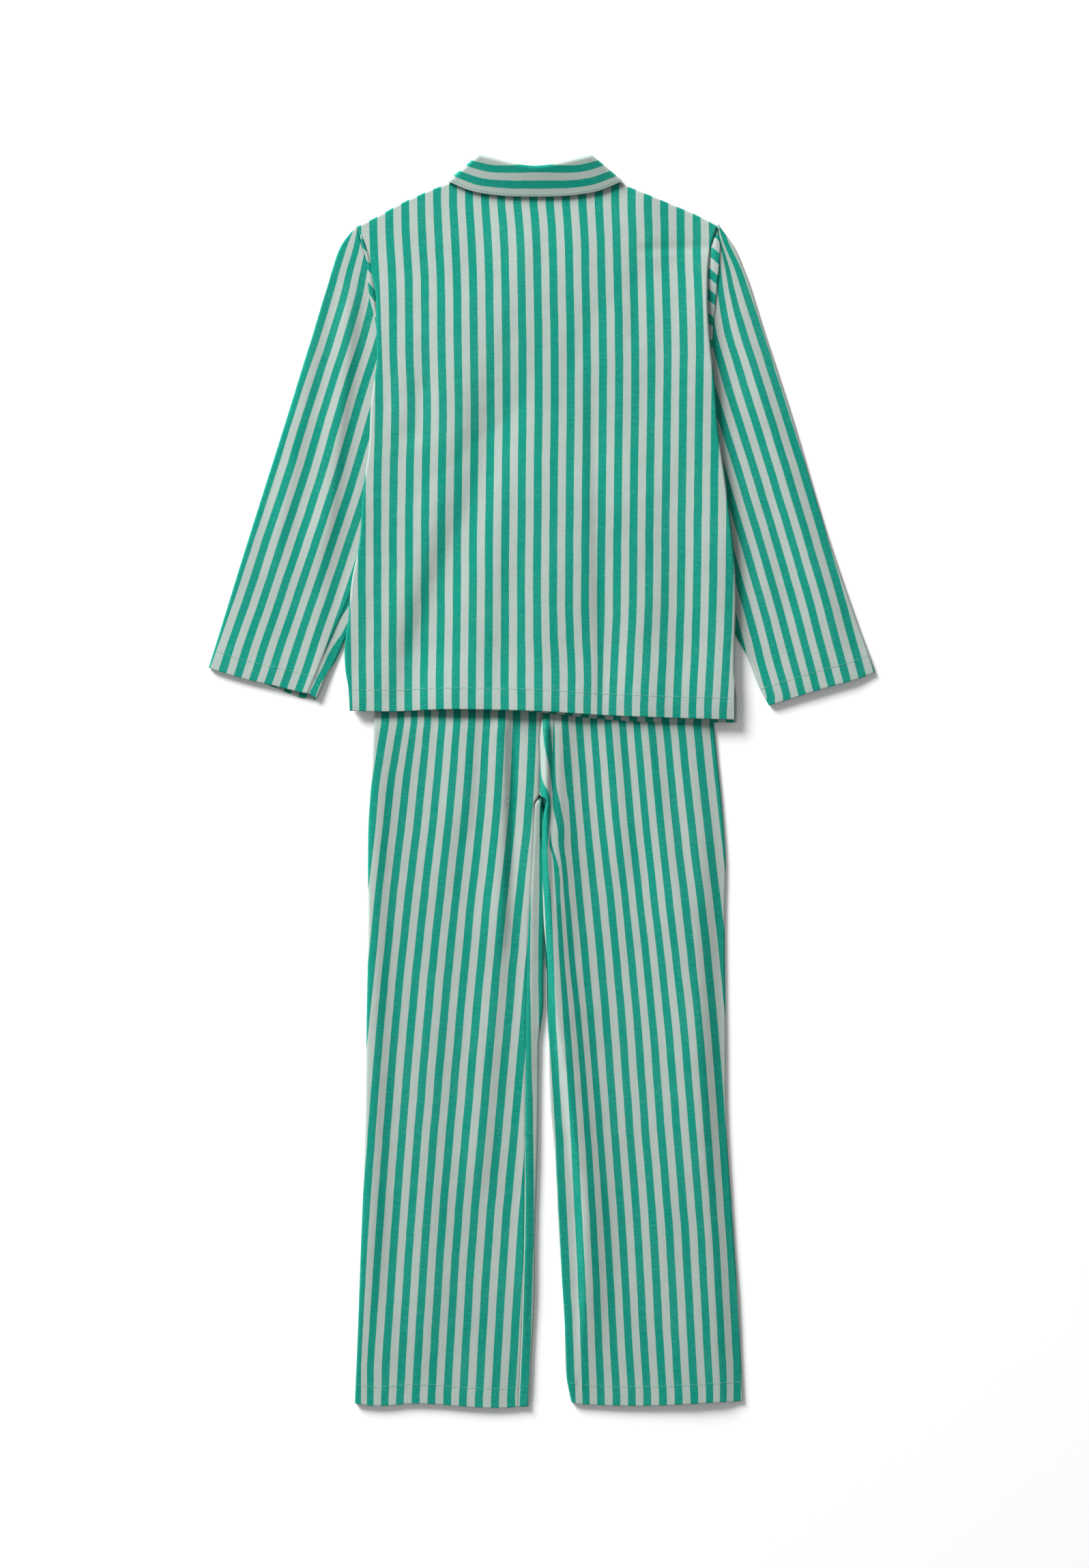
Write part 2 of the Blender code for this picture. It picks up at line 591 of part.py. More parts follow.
def sleeve(name, outer, inner, cuff, armhole, folds, mirror):
    """A sleeve as one flattened tube from its cuff to the armhole, with its inner side tucked under."""
    centre = (np.array(cuff[0]) + np.array(cuff[-1])) / 2
    top = (np.array(armhole[0]) + np.array(armhole[-1])) / 2
    along = (top - centre) / np.linalg.norm(top - centre)
    across = np.array([along[1], -along[0]]) * mirror

    def local(points):
        offset = np.array(points, float) - centre
        return np.stack([offset @ across, offset @ along], axis=1)

    outer_edge = curve([(t, s) for s, t in local(outer)])
    inner_edge = curve([(t, s) for s, t in local(inner)])
    cuff_line = curve(local(cuff))
    armhole_line = curve(local(armhole))
    steps = [0.0, PLEAT_WIDTH, PLEAT_WIDTH + PLEAT_BESIDE]

    def row(j, s):
        low, high = float(cuff_line(s)), float(armhole_line(s))
        ts = [low, *even([low + SLEEVE_HEM, high - steps[-1]], [SLEEVE_ROWS])[:-1]]
        ts += [high - d for d in steps[::-1]]
        return ts[j]

    def columns(start, end):
        return rolled(start, end, [], [SLEEVE_COLUMNS])

    plan = plan_grid(outer_edge, inner_edge, 1 + SLEEVE_ROWS + len(steps), row, columns)
    world = centre + plan[..., :1] * across + plan[..., 1:] * along
    x, y = world[..., 0], world[..., 1]
    edge_x = body_left(y) if mirror > 0 else body_right(y)
    off_body = (edge_x - x) * mirror
    pressed = (1 - ramp(off_body, *PRESSED)) * ramp(y, *PRESSED_BELOW)
    pleat = np.zeros(plan.shape[:2])
    pleat[-2:] = PLEAT_HEIGHT * ramp(y[-2:], *PLEAT_TOP) * ramp(y[-2:], *PLEAT_FOOT)
    upper = HALF + LOOSE + (PUFF + fold_height(folds, x, y)) * (1 - pressed) + pleat
    lower = np.full(upper.shape, HALF)
    seam = (upper + lower) / 2
    angle = np.broadcast_to(roll_angles(plan.shape[1], True, True)[None, :], upper.shape)
    top_points, top_normals = rolled_sheet(plan, upper, seam, 1, angle)
    low_points, low_normals = rolled_sheet(plan, lower, seam, -1, angle)
    points = np.concatenate([top_points, low_points[:, -2:0:-1]], axis=1)
    normals = np.concatenate([top_normals, low_normals[:, -2:0:-1]], axis=1)
    points[:, [0, len(plan[0]) - 1], 2] -= SEAM_GAP / 2
    to_world = np.array([[*across, 0], [*along, 0], [0, 0, 1]])
    points = points @ to_world + np.array([*centre, 0])
    normals = normals @ to_world
    above_cuff = plan[..., 1] - cuff_line(plan[..., 0])
    extra = HEM_TURN * ramp(above_cuff, SLEEVE_HEM + 1, SLEEVE_HEM) * np.sin(angle)
    extra = np.concatenate([extra, extra[:, -2:0:-1]], axis=1)
    wall(name, points, normals, extra, cloth_material(name + "_cotton"), ring=True)


def sleeves():
    sleeve("sleeve_left", LEFT_OUTER, LEFT_INNER, LEFT_CUFF, LEFT_ARMHOLE, LEFT_SLEEVE_FOLDS, 1)
    sleeve("sleeve_right", RIGHT_OUTER, RIGHT_INNER, RIGHT_CUFF, RIGHT_ARMHOLE, RIGHT_SLEEVE_FOLDS, -1)


def collar_station(stand, roll, edge, turn):
    """Points across the collar, from its neck seam over the roll to the leaf's free edge.

    turn is the angle round the side of the neck: -90 degrees on the front, 90 on the back.
    """
    lift, spread = math.sin(turn), math.cos(turn)
    stand_z = HALF + COLLAR_LIFT + LOOSE / 2 + LOOSE / 2 * lift
    leaf_reach = (2 * LOOSE + COLLAR_LIFT + COLLAR_PUFF) / 2
    leaf_z = HALF + leaf_reach + leaf_reach * lift
    stand_out = COLLAR_AXIS * (LOOSE / 2 * spread)
    leaf_out = COLLAR_AXIS * (leaf_reach * spread)
    stand_top = np.array([*(roll + stand_out), stand_z])
    leaf_top = np.array([*(roll + leaf_out), leaf_z])
    up = (roll - (stand + edge) / 2) / np.linalg.norm(roll - (stand + edge) / 2)
    crest = (stand_top + leaf_top) / 2
    crest[:2] += up * np.linalg.norm(stand_top - leaf_top) / 2
    stand_end = np.array([*(stand + stand_out), stand_z])
    leaf_end = np.array([*(edge + leaf_out), leaf_z])
    points = [stand_end, (stand_end + stand_top) / 2, stand_top, crest, leaf_top]
    points += [leaf_top + (leaf_end - leaf_top) * f for f in LEAF_SHARES]
    return points


def collar():
    """The folded collar: its stand rises from the neck seam, rolls over and lies down as the leaf."""
    neck_y = SHOULDER_RIGHT[0][1]

    def neck_seam(dip, gap, last):
        """The neck seam as the body's columns make it, by its fraction from the left to last."""
        xs = [x for x in body_columns(*BODY_GUESS) if abs(x - COLLAR_CENTRE) < NECK_HALF + 0.1]
        offsets = np.array(xs) - COLLAR_CENTRE
        ys = neck_y - dip * (1 - (offsets / NECK_HALF) ** 2) + gap

        def at(t):
            offset = -NECK_HALF + t * (last + NECK_HALF)
            return np.array([offset, np.interp(offset, offsets, ys)])

        return at

    back_stand = neck_seam(BACK_NECK_DIP, COLLAR_NECK_GAP, NECK_HALF)
    back_roll = line_through(BACK_ROLL)
    back_edge = line_through(BACK_LEAF_EDGE)
    front_stand = neck_seam(FRONT_NECK_DIP, COLLAR_FRONT_GAP, FRONT_SEAM_END)
    front_roll = line_through(FRONT_ROLL)
    front_edge = line_through(FRONT_LEAF_EDGE)
    to_front, to_back = -math.pi / 2, math.pi / 2

    half = []
    for t in np.linspace(1, 0, FRONT_STATIONS):
        half.append(collar_station(front_stand(t), front_roll(t), front_edge(t), to_front))
    for turn in SIDE_TURNS:
        half.append(collar_station(front_stand(0), back_roll(0), back_edge(0), math.radians(turn)))
    across_back = []
    for t in np.linspace(0, 1, BACK_STATIONS):
        across_back.append(collar_station(back_stand(t), back_roll(t), back_edge(t), to_back))
    half = np.array(half)
    mirrored = half[::-1] * np.array([-1, 1, 1])
    points = np.concatenate([half, np.array(across_back), mirrored])
    points[..., 0] += COLLAR_CENTRE
    normals = -surface_normals(points.transpose(1, 0, 2)).transpose(1, 0, 2)
    wall("collar", points, normals, np.zeros(points.shape[:2]), cloth_material("collar_cotton"))


def button(name, y, material):
    """A four-hole button, face down, between the placket and what lies under it."""
    x = FRONT_CENTRE
    top = float(front_height(x, y)) - HALF - SEAM_GAP
    build = bmesh.new()
    profile = [
        (0.0, BUTTON_THICK),
        (BUTTON_RADIUS, BUTTON_THICK),
        (BUTTON_RADIUS, BUTTON_CHAMFER),
        (BUTTON_RADIUS - BUTTON_CHAMFER, 0.0),
        (BUTTON_RADIUS - BUTTON_RIM, 0.0),
        (BUTTON_RADIUS - BUTTON_DISH_RIM, BUTTON_DISH),
        (0.0, BUTTON_DISH),
    ]
    verts = [build.verts.new((r * MM, 0, z * MM)) for r, z in profile]
    edges = [build.edges.new(pair) for pair in zip(verts, verts[1:])]
    bmesh.ops.spin(build, geom=verts + edges, cent=(0, 0, 0), axis=(0, 0, 1), angle=math.tau, steps=14)
    bmesh.ops.remove_doubles(build, verts=build.verts, dist=1e-6)
    bmesh.ops.recalc_face_normals(build, faces=build.faces)
    mesh = bpy.data.meshes.new(name)
    build.to_mesh(mesh)
    build.free()
    obj = add_object(name, mesh, material)
    obj.location = (np.array([x, y, top - BUTTON_THICK]) - BOX_CENTRE) * MM
    for k in range(BUTTON_HOLES):
        angle = math.tau * (k + 0.5) / BUTTON_HOLES
        hole = button_hole(f"{name}_hole_{k}", angle, obj)
        cut = obj.modifiers.new(f"hole_{k}", "BOOLEAN")
        cut.operation = "DIFFERENCE"
        cut.object = hole


def button_hole(name, angle, parent):
    build = bmesh.new()
    radius = BUTTON_HOLE * MM
    depth = 4 * BUTTON_THICK * MM
    bmesh.ops.create_cone(build, cap_ends=True, segments=6, radius1=radius, radius2=radius, depth=depth)
    mesh = bpy.data.meshes.new(name)
    build.to_mesh(mesh)
    build.free()
    hole = bpy.data.objects.new(name, mesh)
    bpy.context.scene.collection.objects.link(hole)
    hole.parent = parent
    hole.location = (BUTTON_HOLE_RING * math.cos(angle) * MM, BUTTON_HOLE_RING * math.sin(angle) * MM, 0)
    hole.hide_render = True
    hole.display_type = "WIRE"
    return hole


def buttons():
    material = cloth_material("button_resin", BUTTON_COLOUR, BUTTON_ROUGHNESS)
    for k in range(BUTTON_COUNT):
        button(f"button_{k + 1}", BUTTON_TOP - BUTTON_PITCH * k, material)


# ---- Trousers -----------------------------------------------------------------------------------


def leg_panels(side, outer, inner, hem, folds):
    """The back and the front of one leg, seamed along the outer side and along the inseam."""
    hem_line = curve(hem)
    levels = LEG_LOOSE[::-1]

    def row(j, x):
        low = float(hem_line(x))
        ys = [low, *even([low + LEG_HEM, levels[0]], [LEG_ROWS_LOW])[:-1], levels[0]]
        ys += list(even([levels[1], WAIST_SEAM], [LEG_ROWS_HIGH]))
        return ys[j]

    def columns(start, end):
        return rolled(start, end, [], [LEG_COLUMNS])

    row_count = 1 + LEG_ROWS_LOW + 1 + LEG_ROWS_HIGH + 1
    left, right = (outer, inner) if side == "left" else (inner, outer)
    plan = plan_grid(curve(left), curve(right), row_count, row, columns)
    x, y = plan[..., 0], plan[..., 1]
    upper = leg_top_height(folds)(x, y)
    lower = np.full(upper.shape, HALF)
    seam = (upper + lower) / 2
    angle = np.broadcast_to(roll_angles(plan.shape[1], True, True)[None, :], upper.shape).copy()
    rolled_columns = len(ROLL_ANGLES)
    inner_columns = slice(-rolled_columns, None) if side == "left" else slice(0, rolled_columns)
    parted = ramp(y[:, inner_columns], *INSEAM_OPENS)
    angle[:, inner_columns] = math.pi / 2 - (math.pi / 2 - angle[:, inner_columns]) * parted
    extra = hem_extra(plan, hem_line, LEG_HEM) * np.sin(angle)
    for layer, height, facing in (("back", upper, 1), ("front", lower, -1)):
        name = f"leg_{side}_{layer}"
        points, normals = rolled_sheet(plan, height, seam, facing, angle)
        wall(name, points, normals, extra, cloth_material(name + "_cotton"))


def waistband():
    """The elastic casing: one flattened ring over the top of the four leg panels."""
    left, right = curve(LEG_LEFT_OUTER), curve(LEG_RIGHT_OUTER)
    ys = np.linspace(WAIST_SEAM + SEAM_GAP, WAIST_TOP, WAIST_ROWS)
    rows = []
    for y in ys:
        xs = rolled(float(left(y)), float(right(y)), [], [WAIST_COLUMNS])
        rows.append(np.stack([xs, np.full(len(xs), y)], axis=1))
    plan = np.array(rows)
    upper = np.full(plan.shape[:2], HALF + LOOSE)
    lower = np.full(plan.shape[:2], HALF)
    seam = (upper + lower) / 2
    angle = np.broadcast_to(roll_angles(plan.shape[1], True, True)[None, :], upper.shape)
    top_points, top_normals = rolled_sheet(plan, upper, seam, 1, angle)
    low_points, low_normals = rolled_sheet(plan, lower, seam, -1, angle)
    points = np.concatenate([top_points, low_points[:, -2:0:-1]], axis=1)
    normals = np.concatenate([top_normals, low_normals[:, -2:0:-1]], axis=1)
    points[:, [0, len(plan[0]) - 1], 2] -= SEAM_GAP / 2
    material = cloth_material("waistband_cotton")
    wall("waistband", points, normals, np.zeros(points.shape[:2]), material, ring=True)


def trousers():
    leg_panels("left", LEG_LEFT_OUTER, LEG_LEFT_INNER, LEG_LEFT_HEM, LEFT_LEG_FOLDS)
    leg_panels("right", LEG_RIGHT_OUTER, LEG_RIGHT_INNER, LEG_RIGHT_HEM, RIGHT_LEG_FOLDS)
    waistband()


# ---- Build --------------------------------------------------------------------------------------


def clear_scene():
    for obj in list(bpy.data.objects):
        bpy.data.objects.remove(obj, do_unlink=True)


def main():
    clear_scene()
    trousers()
    jacket_fronts()
    sleeves()
    jacket_back()
    collar()
    buttons()


main()
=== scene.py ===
"""Looks of a child's pyjama set laid flat with its back up: striped cotton, seams, stitches and buttons.

The tables are in millimetres in the frame of the laid set: X across, Y from the hems to the collar
and Z up. Left and right are the wearer's. Stripes are counted in pairs of one green and one pale.
"""

import math

import bpy
import numpy as np
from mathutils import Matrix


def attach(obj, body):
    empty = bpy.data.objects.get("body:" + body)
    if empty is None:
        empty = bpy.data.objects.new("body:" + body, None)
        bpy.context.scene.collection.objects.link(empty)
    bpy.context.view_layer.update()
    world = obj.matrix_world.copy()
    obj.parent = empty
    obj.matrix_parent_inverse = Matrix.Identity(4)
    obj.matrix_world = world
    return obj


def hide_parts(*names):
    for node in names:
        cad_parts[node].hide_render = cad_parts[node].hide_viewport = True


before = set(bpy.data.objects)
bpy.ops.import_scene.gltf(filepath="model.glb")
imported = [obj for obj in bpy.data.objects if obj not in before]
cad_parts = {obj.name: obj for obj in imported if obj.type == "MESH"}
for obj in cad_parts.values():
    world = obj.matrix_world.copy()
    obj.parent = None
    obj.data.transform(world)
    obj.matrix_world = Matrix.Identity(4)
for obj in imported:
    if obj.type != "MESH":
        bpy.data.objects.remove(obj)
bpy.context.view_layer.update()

MM = 0.001
BOX_CENTRE = np.array([0.04, 1.15, 0.0])  # middle of the laid set in the tables' millimetres
STRIPE_PAIR = 15.1  # one green and one pale stripe
YARN_PITCH = 0.62  # from one yarn to the next but one
RIGHT_ANGLE = math.pi / 2

# ---- Cloth and layers -----------------------------------------------------------------------------

HALF = 0.4  # half of one layer of the cotton
FLOOR_LAYER = 0.47  # middle of a layer that lies on the floor
LOOSE = 1.8  # from the middle of one layer to the middle of the next
PUFF = 1.0  # the back stands up this much more away from its edges
LEG_PUFF = 2.2  # and the legs
SLEEVE_PUFF = 1.6  # and the sleeves
EDGE_PRESS = 26.0  # width over which a pressed fold flattens a sleeve or a leg
TOUCHING = 0.95  # two layers pressed together
HEM_RISE = 2.8  # the free edge of the back stands up this much more
ROLL = 1.4  # reach of a rolled edge
STACK_LIFT = 3.6  # what the sleeves or the trousers' waist raise the jacket by
PLACKET_LIFT = 2.3  # what the placket and its buttons raise it by
CROWN = 3.5  # the back's slight rise below the collar
WAIST_CLEAR = 256.0  # the jacket lies on the trousers' waist up to here
SLEEVE_CLEAR = 12.0  # and on the sleeves this far past their inner folds
FRONT_SLOPE = 30.0  # how far the cloth takes to come down again
BACK_SLOPE = 110.0
NECK_LEVEL, NECK_SIDES = (330, 474), (170, 88)  # where the folded collar starts to raise the jacket
ARMHOLE_LEVEL = (520, 415)  # where the sleeves start to raise it
PLACKET_SIDE, PLACKET_TOP = 52, (530, 515)  # where the placket no longer does
UNDER_COLLAR, UNDER_COLLAR_SIDES = (558, 500), (80, 110)  # where the collar presses the back
CROWN_SIDES, CROWN_LEVEL = (150, 10), (560, 445)
HEM_RISE_LEVEL = (130, 66)
UNDER_JACKET = (72, 48)  # where the jacket's hem stops pressing the legs
LEG_PRESS = 0.75  # how much the right leg's pressed outer fold lies flatter
FRONT_CENTRE = -3.0  # middle of the placket
OVERLAP = 15.0  # half of the width over which the fronts lap
COLLAR_CENTRE = -6.4
COLLAR_LIFT = 1.8  # what the collar's front leaf raises the jacket by
NECK_HALF = 63.0  # half of the neck's width
BACK_NECK_DIP = 11.0  # how far the neck edge dips at its middle
FRONT_NECK_DIP = 50.0
NECK_TOP = 566.0
SLIT_TOP = 95.0  # top of the vents at the foot of the side seams
SLIT_SHOW = 2.6  # what the right front shows of itself past its vent
BACK_HEM = 20.0  # the depth of each hem
SLEEVE_HEM = 17.0
SEAM_INSET = 10.0  # about how far the underarm seam lies from the inner fold
CUFF_RISE = 1.4  # the open end of a sleeve stands up this much more
LEG_HEM = 18.0
HEM_TURN = 0.7  # what a hem's turning adds to its wall
HEM_EDGE = 0.7  # over which a hem's edge rounds off
WAIST_SEAM = 216.0  # foot and top of the waistband
WAIST_TOP = 244.0
CROTCH = -18.0

# side of the body, then the armhole, from the hem up: y, x
BODY_LEFT = [
    (40, -180.5), (66, -179.8), (88, -181.1), (106, -183.7), (129, -184.0), (147, -181.4),
    (189, -177.3), (221, -170.9), (278, -166.4), (309, -161.9), (355, -159.4), (395, -154.2),
    (427, -154.6), (465, -156.8), (487, -163.4), (509, -170.4), (519.3, -173.0), (540, -178.0),
]  # fmt: skip
BODY_RIGHT = [
    (40, 180.5), (58, 179.8), (77, 179.8), (95, 180.0), (118, 180.2), (136, 180.4), (168, 181.1),
    (195, 180.5), (234, 177.3), (278, 171.8), (331, 164.5), (373, 161.3), (401, 158.1),
    (426, 155.9), (452, 154.9), (511, 161.3), (519.7, 164.5), (540, 172.0),
]  # fmt: skip
BACK_HEM_LINE = [
    (-190, 66.0), (-138, 65.3), (-92, 67.2), (-39, 66.6), (1, 65.3), (52, 62.1), (115, 59.5),
    (190, 57.4),
]  # fmt: skip
FRONT_DROP = [(-20, 0.0), (30, 2.6), (110, 4.5), (165, 3.0), (190, 2.5)]
SHOULDER_LEFT = [(-195, 505), (-173, 519.3), (-153.6, 529.3), (-136, 539), (-104, 553.6), (-69.4, 566)]
SHOULDER_RIGHT = [(56.6, 566), (87, 554.2), (123, 539.5), (146.6, 529.3), (164.5, 519.7), (190, 504)]

# sleeve outlines, cuff to shoulder on the outer fold and cuff to underarm on the inner one: x, y
LEFT_OUTER = [(-311.9, 106.2), (-276.5, 221), (-236, 349), (-212.5, 425.6), (-197, 477),
    (-186, 505), (-174, 519.6)]
LEFT_INNER = [
    (-210.8, 77.4), (-204, 93.4), (-194, 112.4), (-182, 140), (-165, 182), (-151, 236), (-140, 290),
    (-128, 340), (-114, 380),
]  # fmt: skip
LEFT_CUFF = [
    (-311.9, 106.2), (-295, 100.7), (-273.9, 94.8), (-252.5, 90.0), (-240, 86.9), (-226.6, 83.6),
    (-218.6, 82.0),
    (-210.8, 77.4),
]  # fmt: skip
# how far the lower layer of the left sleeve shows below the cuff: x, drop
CUFF_PEEK = [(-268, 0.0), (-255, 1.0), (-236, 3.6), (-218, 4.2), (-213, 2.4), (-210.8, 0.0)]
# underarm seam of the left sleeve, which has turned onto its upper side: x, y from the cuff up
LEFT_SLEEVE_SEAM = [
    (-221.5, 76), (-218.6, 83.2), (-215.4, 91.2), (-209.4, 105.6), (-205, 116.8), (-200.2, 128),
    (-195.8, 137.6),
    (-190.6, 149.6), (-186.6, 158.4), (-181.8, 169.6), (-178.8, 176.4), (-168.6, 200),
    (-158, 236), (-148, 290),
    (-136, 340), (-122, 380),
]  # fmt: skip
LEFT_ARMHOLE = [
    (-174, 519.6), (-171.3, 509.1), (-164.6, 487), (-157.8, 464.6), (-155.4, 427), (-141, 400), (-114, 380),
]  # fmt: skip
RIGHT_OUTER = [(312, 102), (270.5, 221), (231.7, 349), (206.7, 425.6), (190, 477), (178.6, 503),
    (166.5, 519.8)]
RIGHT_INNER = [
    (213.3, 71), (202.9, 91), (194, 114.6), (181.1, 140), (166, 182), (152.5, 236), (142, 290),
    (132, 340), (120, 380),
]  # fmt: skip
RIGHT_CUFF = [(312, 102), (301.8, 97.9), (266.9, 87.7), (240, 79.5), (213.3, 71)]
RIGHT_ARMHOLE = [(166.5, 519.8), (162.3, 511.4), (155.7, 452), (156.5, 424), (146, 400), (120, 380)]

# collar, about its centre: offset from the centre, y
BACK_ROLL = [(-52.0, 586.2), (-43.5, 584.4), (-22.4, 579.3), (0, 576.1), (22.4, 579.3),
    (43.5, 584.4), (52.0, 586.2)]
BACK_LEAF_EDGE = [(-80.0, 562.6), (-60, 554.6), (-35, 550.4), (0, 549.1), (35, 550.4),
    (60, 554.6), (80.0, 562.6)]
FRONT_ROLL = [(-52.0, 586.2), (-49, 566), (-37, 547), (-17, 534), (-0.8, 530)]
FRONT_LEAF_EDGE = [(-80.0, 562.6), (-79, 540), (-68, 510), (-45, 478)]

# trouser outlines from the hem up: y, x
LEG_LEFT_OUTER = [
    (-600, -175.4), (-579, -174.7), (-534, -172.8), (-432, -169.0), (-330, -165.1),
    (-227, -163.8), (-125, -162.2),
    (-74, -162.6), (-22, -161.3), (3, -159.4), (65, -156.2), (120, -150), (180, -141),
    (216, -134), (250, -128),
]  # fmt: skip
LEG_LEFT_INNER = [
    (-600, -13.8), (-579, -12.2), (-534, -9.6), (-483, -7.2), (-432, -6.8), (-355, -4.5),
    (-266, -3.2), (-168, -3.2),
    (-77, -1.6), (-35, -0.5), (0, -0.5), (42, -0.5), (216, -0.5), (250, -0.5),
]  # fmt: skip
LEG_RIGHT_INNER = [
    (-600, 33.0), (-579, 27.5), (-560, 23.7), (-509, 21.8), (-458, 18.6), (-406, 15.4),
    (-355, 13.0), (-304, 8.6),
    (-221, 6.4), (-168, 5.2), (-134, 2.2), (-77, 0.6), (-35, 0.5), (0, 0.5), (42, 0.5),
    (216, 0.5), (250, 0.5),
]  # fmt: skip
LEG_RIGHT_OUTER = [
    (-600, 188.8), (-579, 188.2), (-534, 186.2), (-483, 183.7), (-432, 179.8), (-381, 176.6), (-330, 173.4),
    (-227, 172.0), (-125, 171.2), (-74, 172.0), (-22, 168.3), (29, 163.2), (65, 160.0),
    (120, 154), (180, 145),
    (216, 138), (250, 132),
]  # fmt: skip
LEG_LEFT_HEM = [
    (-190, -581), (-171, -583.4), (-158, -585), (-116, -583), (-97, -583.5), (-58, -586.2),
    (-26, -586.9), (0, -584.4),
]  # fmt: skip
LEG_RIGHT_HEM = [(20, -580), (31, -582.6), (54, -584.3), (92, -585), (130, -583.7), (162, -581.8),
    (195, -580.6)]

# ---- Stripes: lines that follow the middle of one green stripe, as count: [(y, x)] --------------

BACK_STRIPES = {
    -3: [(50, -179.8), (190, -183), (348.8, -182.5), (515.2, -188)],
    -2: [(50, -167.6), (190, -168.3), (290, -168.2), (348.8, -167.4), (515.2, -173)],
    -1: [(50, -152.6), (190, -153.8), (290, -153.8), (348.8, -152.3), (515.2, -157.9)],
    0: [(69.8, -139.0), (188.8, -139.4), (284.8, -138.6), (348.8, -137.2), (400, -139.0),
        (476.8, -140.2), (515.2, -142.8)],
    8: [(69.8, -19.2), (220.8, -19.2), (284.8, -18.6), (374.4, -18.0), (438.4, -18.6), (476.8, -19.2),
        (515.2, -20.6), (540.8, -23.2)],
    19: [(69.8, 140.8), (118.4, 143.3), (156.8, 144.6), (252.8, 145.9), (348.8, 147.2),
        (400, 147.8), (496, 145.2)],
    21: [(65, 169.2), (101, 171.6), (137, 173.8), (185, 175.4), (252.8, 176.1), (348.8, 177.4), (400, 178),
         (496, 175.4)],
}  # fmt: skip
LEFT_SLEEVE_STRIPES = {
    -1: [(80, -325.0), (118.4, -310.2), (182.4, -287.8), (284.8, -253.9), (374.4, -225.5), (412.8, -212.2),
         (438.4, -204.4), (464, -196.7), (489.6, -189.2), (502.4, -184.8), (515.2, -178.5), (530, -171)],
    0: [(80, -306.8), (105.6, -297.9), (118.4, -294.2), (144, -285.4), (182.4, -272.3),
        (233.6, -255.7), (284.8, -238.4),
        (336, -222.7), (374.4, -210.5), (400, -202.2), (425.6, -194.0), (451.2, -186.3), (476.8, -180.2),
        (502.4, -173.1), (515.2, -171.5), (530, -166)],
    2: [(80, -276), (105.6, -267), (118.4, -262.9), (182.4, -241.3), (284.8, -207.4),
        (374.4, -181.0), (412.8, -168.4),
        (438.4, -161.7), (464, -156.0), (530, -150)],
}  # fmt: skip
# the stripes of the left sleeve past that seam
LEFT_SLEEVE_UNDER_STRIPES = {
    0.25: [(86.4, -226.6), (105.6, -218.6), (118.4, -210.6), (131.2, -202.6), (142.4, -195.8),
        (150, -190.2),
           (158.4, -185), (166, -179.8), (173.6, -174.6), (200, -158)],
    0.75: [(78.4, -219.4), (83.2, -217), (91.2, -213), (98.4, -209.8), (105.6, -205.4), (116.8, -200.8),
           (127.6, -195.2), (137.6, -188.2), (149.6, -181.8), (158.4, -175.4), (200, -146)],
    1.25: [(78.4, -212.2), (83.2, -210.6), (91.2, -207.4), (98.4, -202.6), (102.4, -200.6), (114.4, -192.2),
           (126.4, -183.4), (137.6, -175.4), (200, -130)],
}  # fmt: skip
RIGHT_SLEEVE_STRIPES = {
    -6: [(80, 214.6), (105.6, 207.3), (131.2, 200.8), (156.8, 193.9), (182.4, 186.6),
        (284.8, 155.9), (380.8, 125.9),
         (530, 100)],
    -2: [(80, 274.0), (118.4, 263.9), (182.4, 246.8), (284.8, 216.4), (380.8, 186.4),
        (419.2, 175.0), (444.8, 170.0),
         (508.8, 163.0), (530, 160)],
    -1: [(80, 289.4), (118.4, 279.2), (182.4, 261.9), (284.8, 231.5), (380.8, 201.5),
        (419.2, 189.0), (457.6, 178.3),
         (483.2, 173.2), (508.8, 166.4), (530, 162)],
    0: [(80, 305.0), (118.4, 294.7), (182.4, 277.1), (284.8, 246.7), (380.8, 216.1),
        (419.2, 203.8), (457.6, 190.9),
        (483.2, 181.7), (496, 175.4), (508.8, 169.5), (530, 165)],
}  # fmt: skip
SLEEVE_PAIR = 15.5  # one pair of stripes measured across the laid sleeve, along X
LEFT_LEG_STRIPES = {
    -5: [(-547, -202), (-163.2, -172.5), (-48, -159.4), (3.2, -154.7), (54.4, -146.4)],
    -4: [(-547, -187), (-259.2, -168.5), (-163.2, -158.4), (-99.2, -152.4), (-48, -146.6),
        (3.2, -140.7), (54.4, -131.8)],
    -3: [(-547, -172), (-451.2, -167.4), (-355.2, -161), (-259.2, -153.7), (-163.2, -145), (-99.2, -138.6),
         (-48, -132.5), (3.2, -126.5), (54.4, -119.6)],
    -2: [(-547, -161), (-451.2, -154.4), (-355.2, -147.3), (-259.2, -139.8), (-163.2, -130.9),
        (-99.2, -123.8),
         (-48, -117.6), (3.2, -112.1), (54.4, -107.1)],
    0: [(-576, -132.8), (-521.6, -129.6), (-419.2, -122.9), (-316.8, -114.9), (-214.4, -106.2),
        (-163.2, -101.1),
        (-112, -95.7), (-35.2, -87.0), (54.4, -79.4)],
    4: [(-576, -73.9), (-521.6, -70.7), (-419.2, -64.3), (-316.8, -55.0), (-214.4, -45.8), (-163.2, -41.3),
        (-112, -36.5), (-35.2, -28.2), (54.4, -23.7)],
}  # fmt: skip
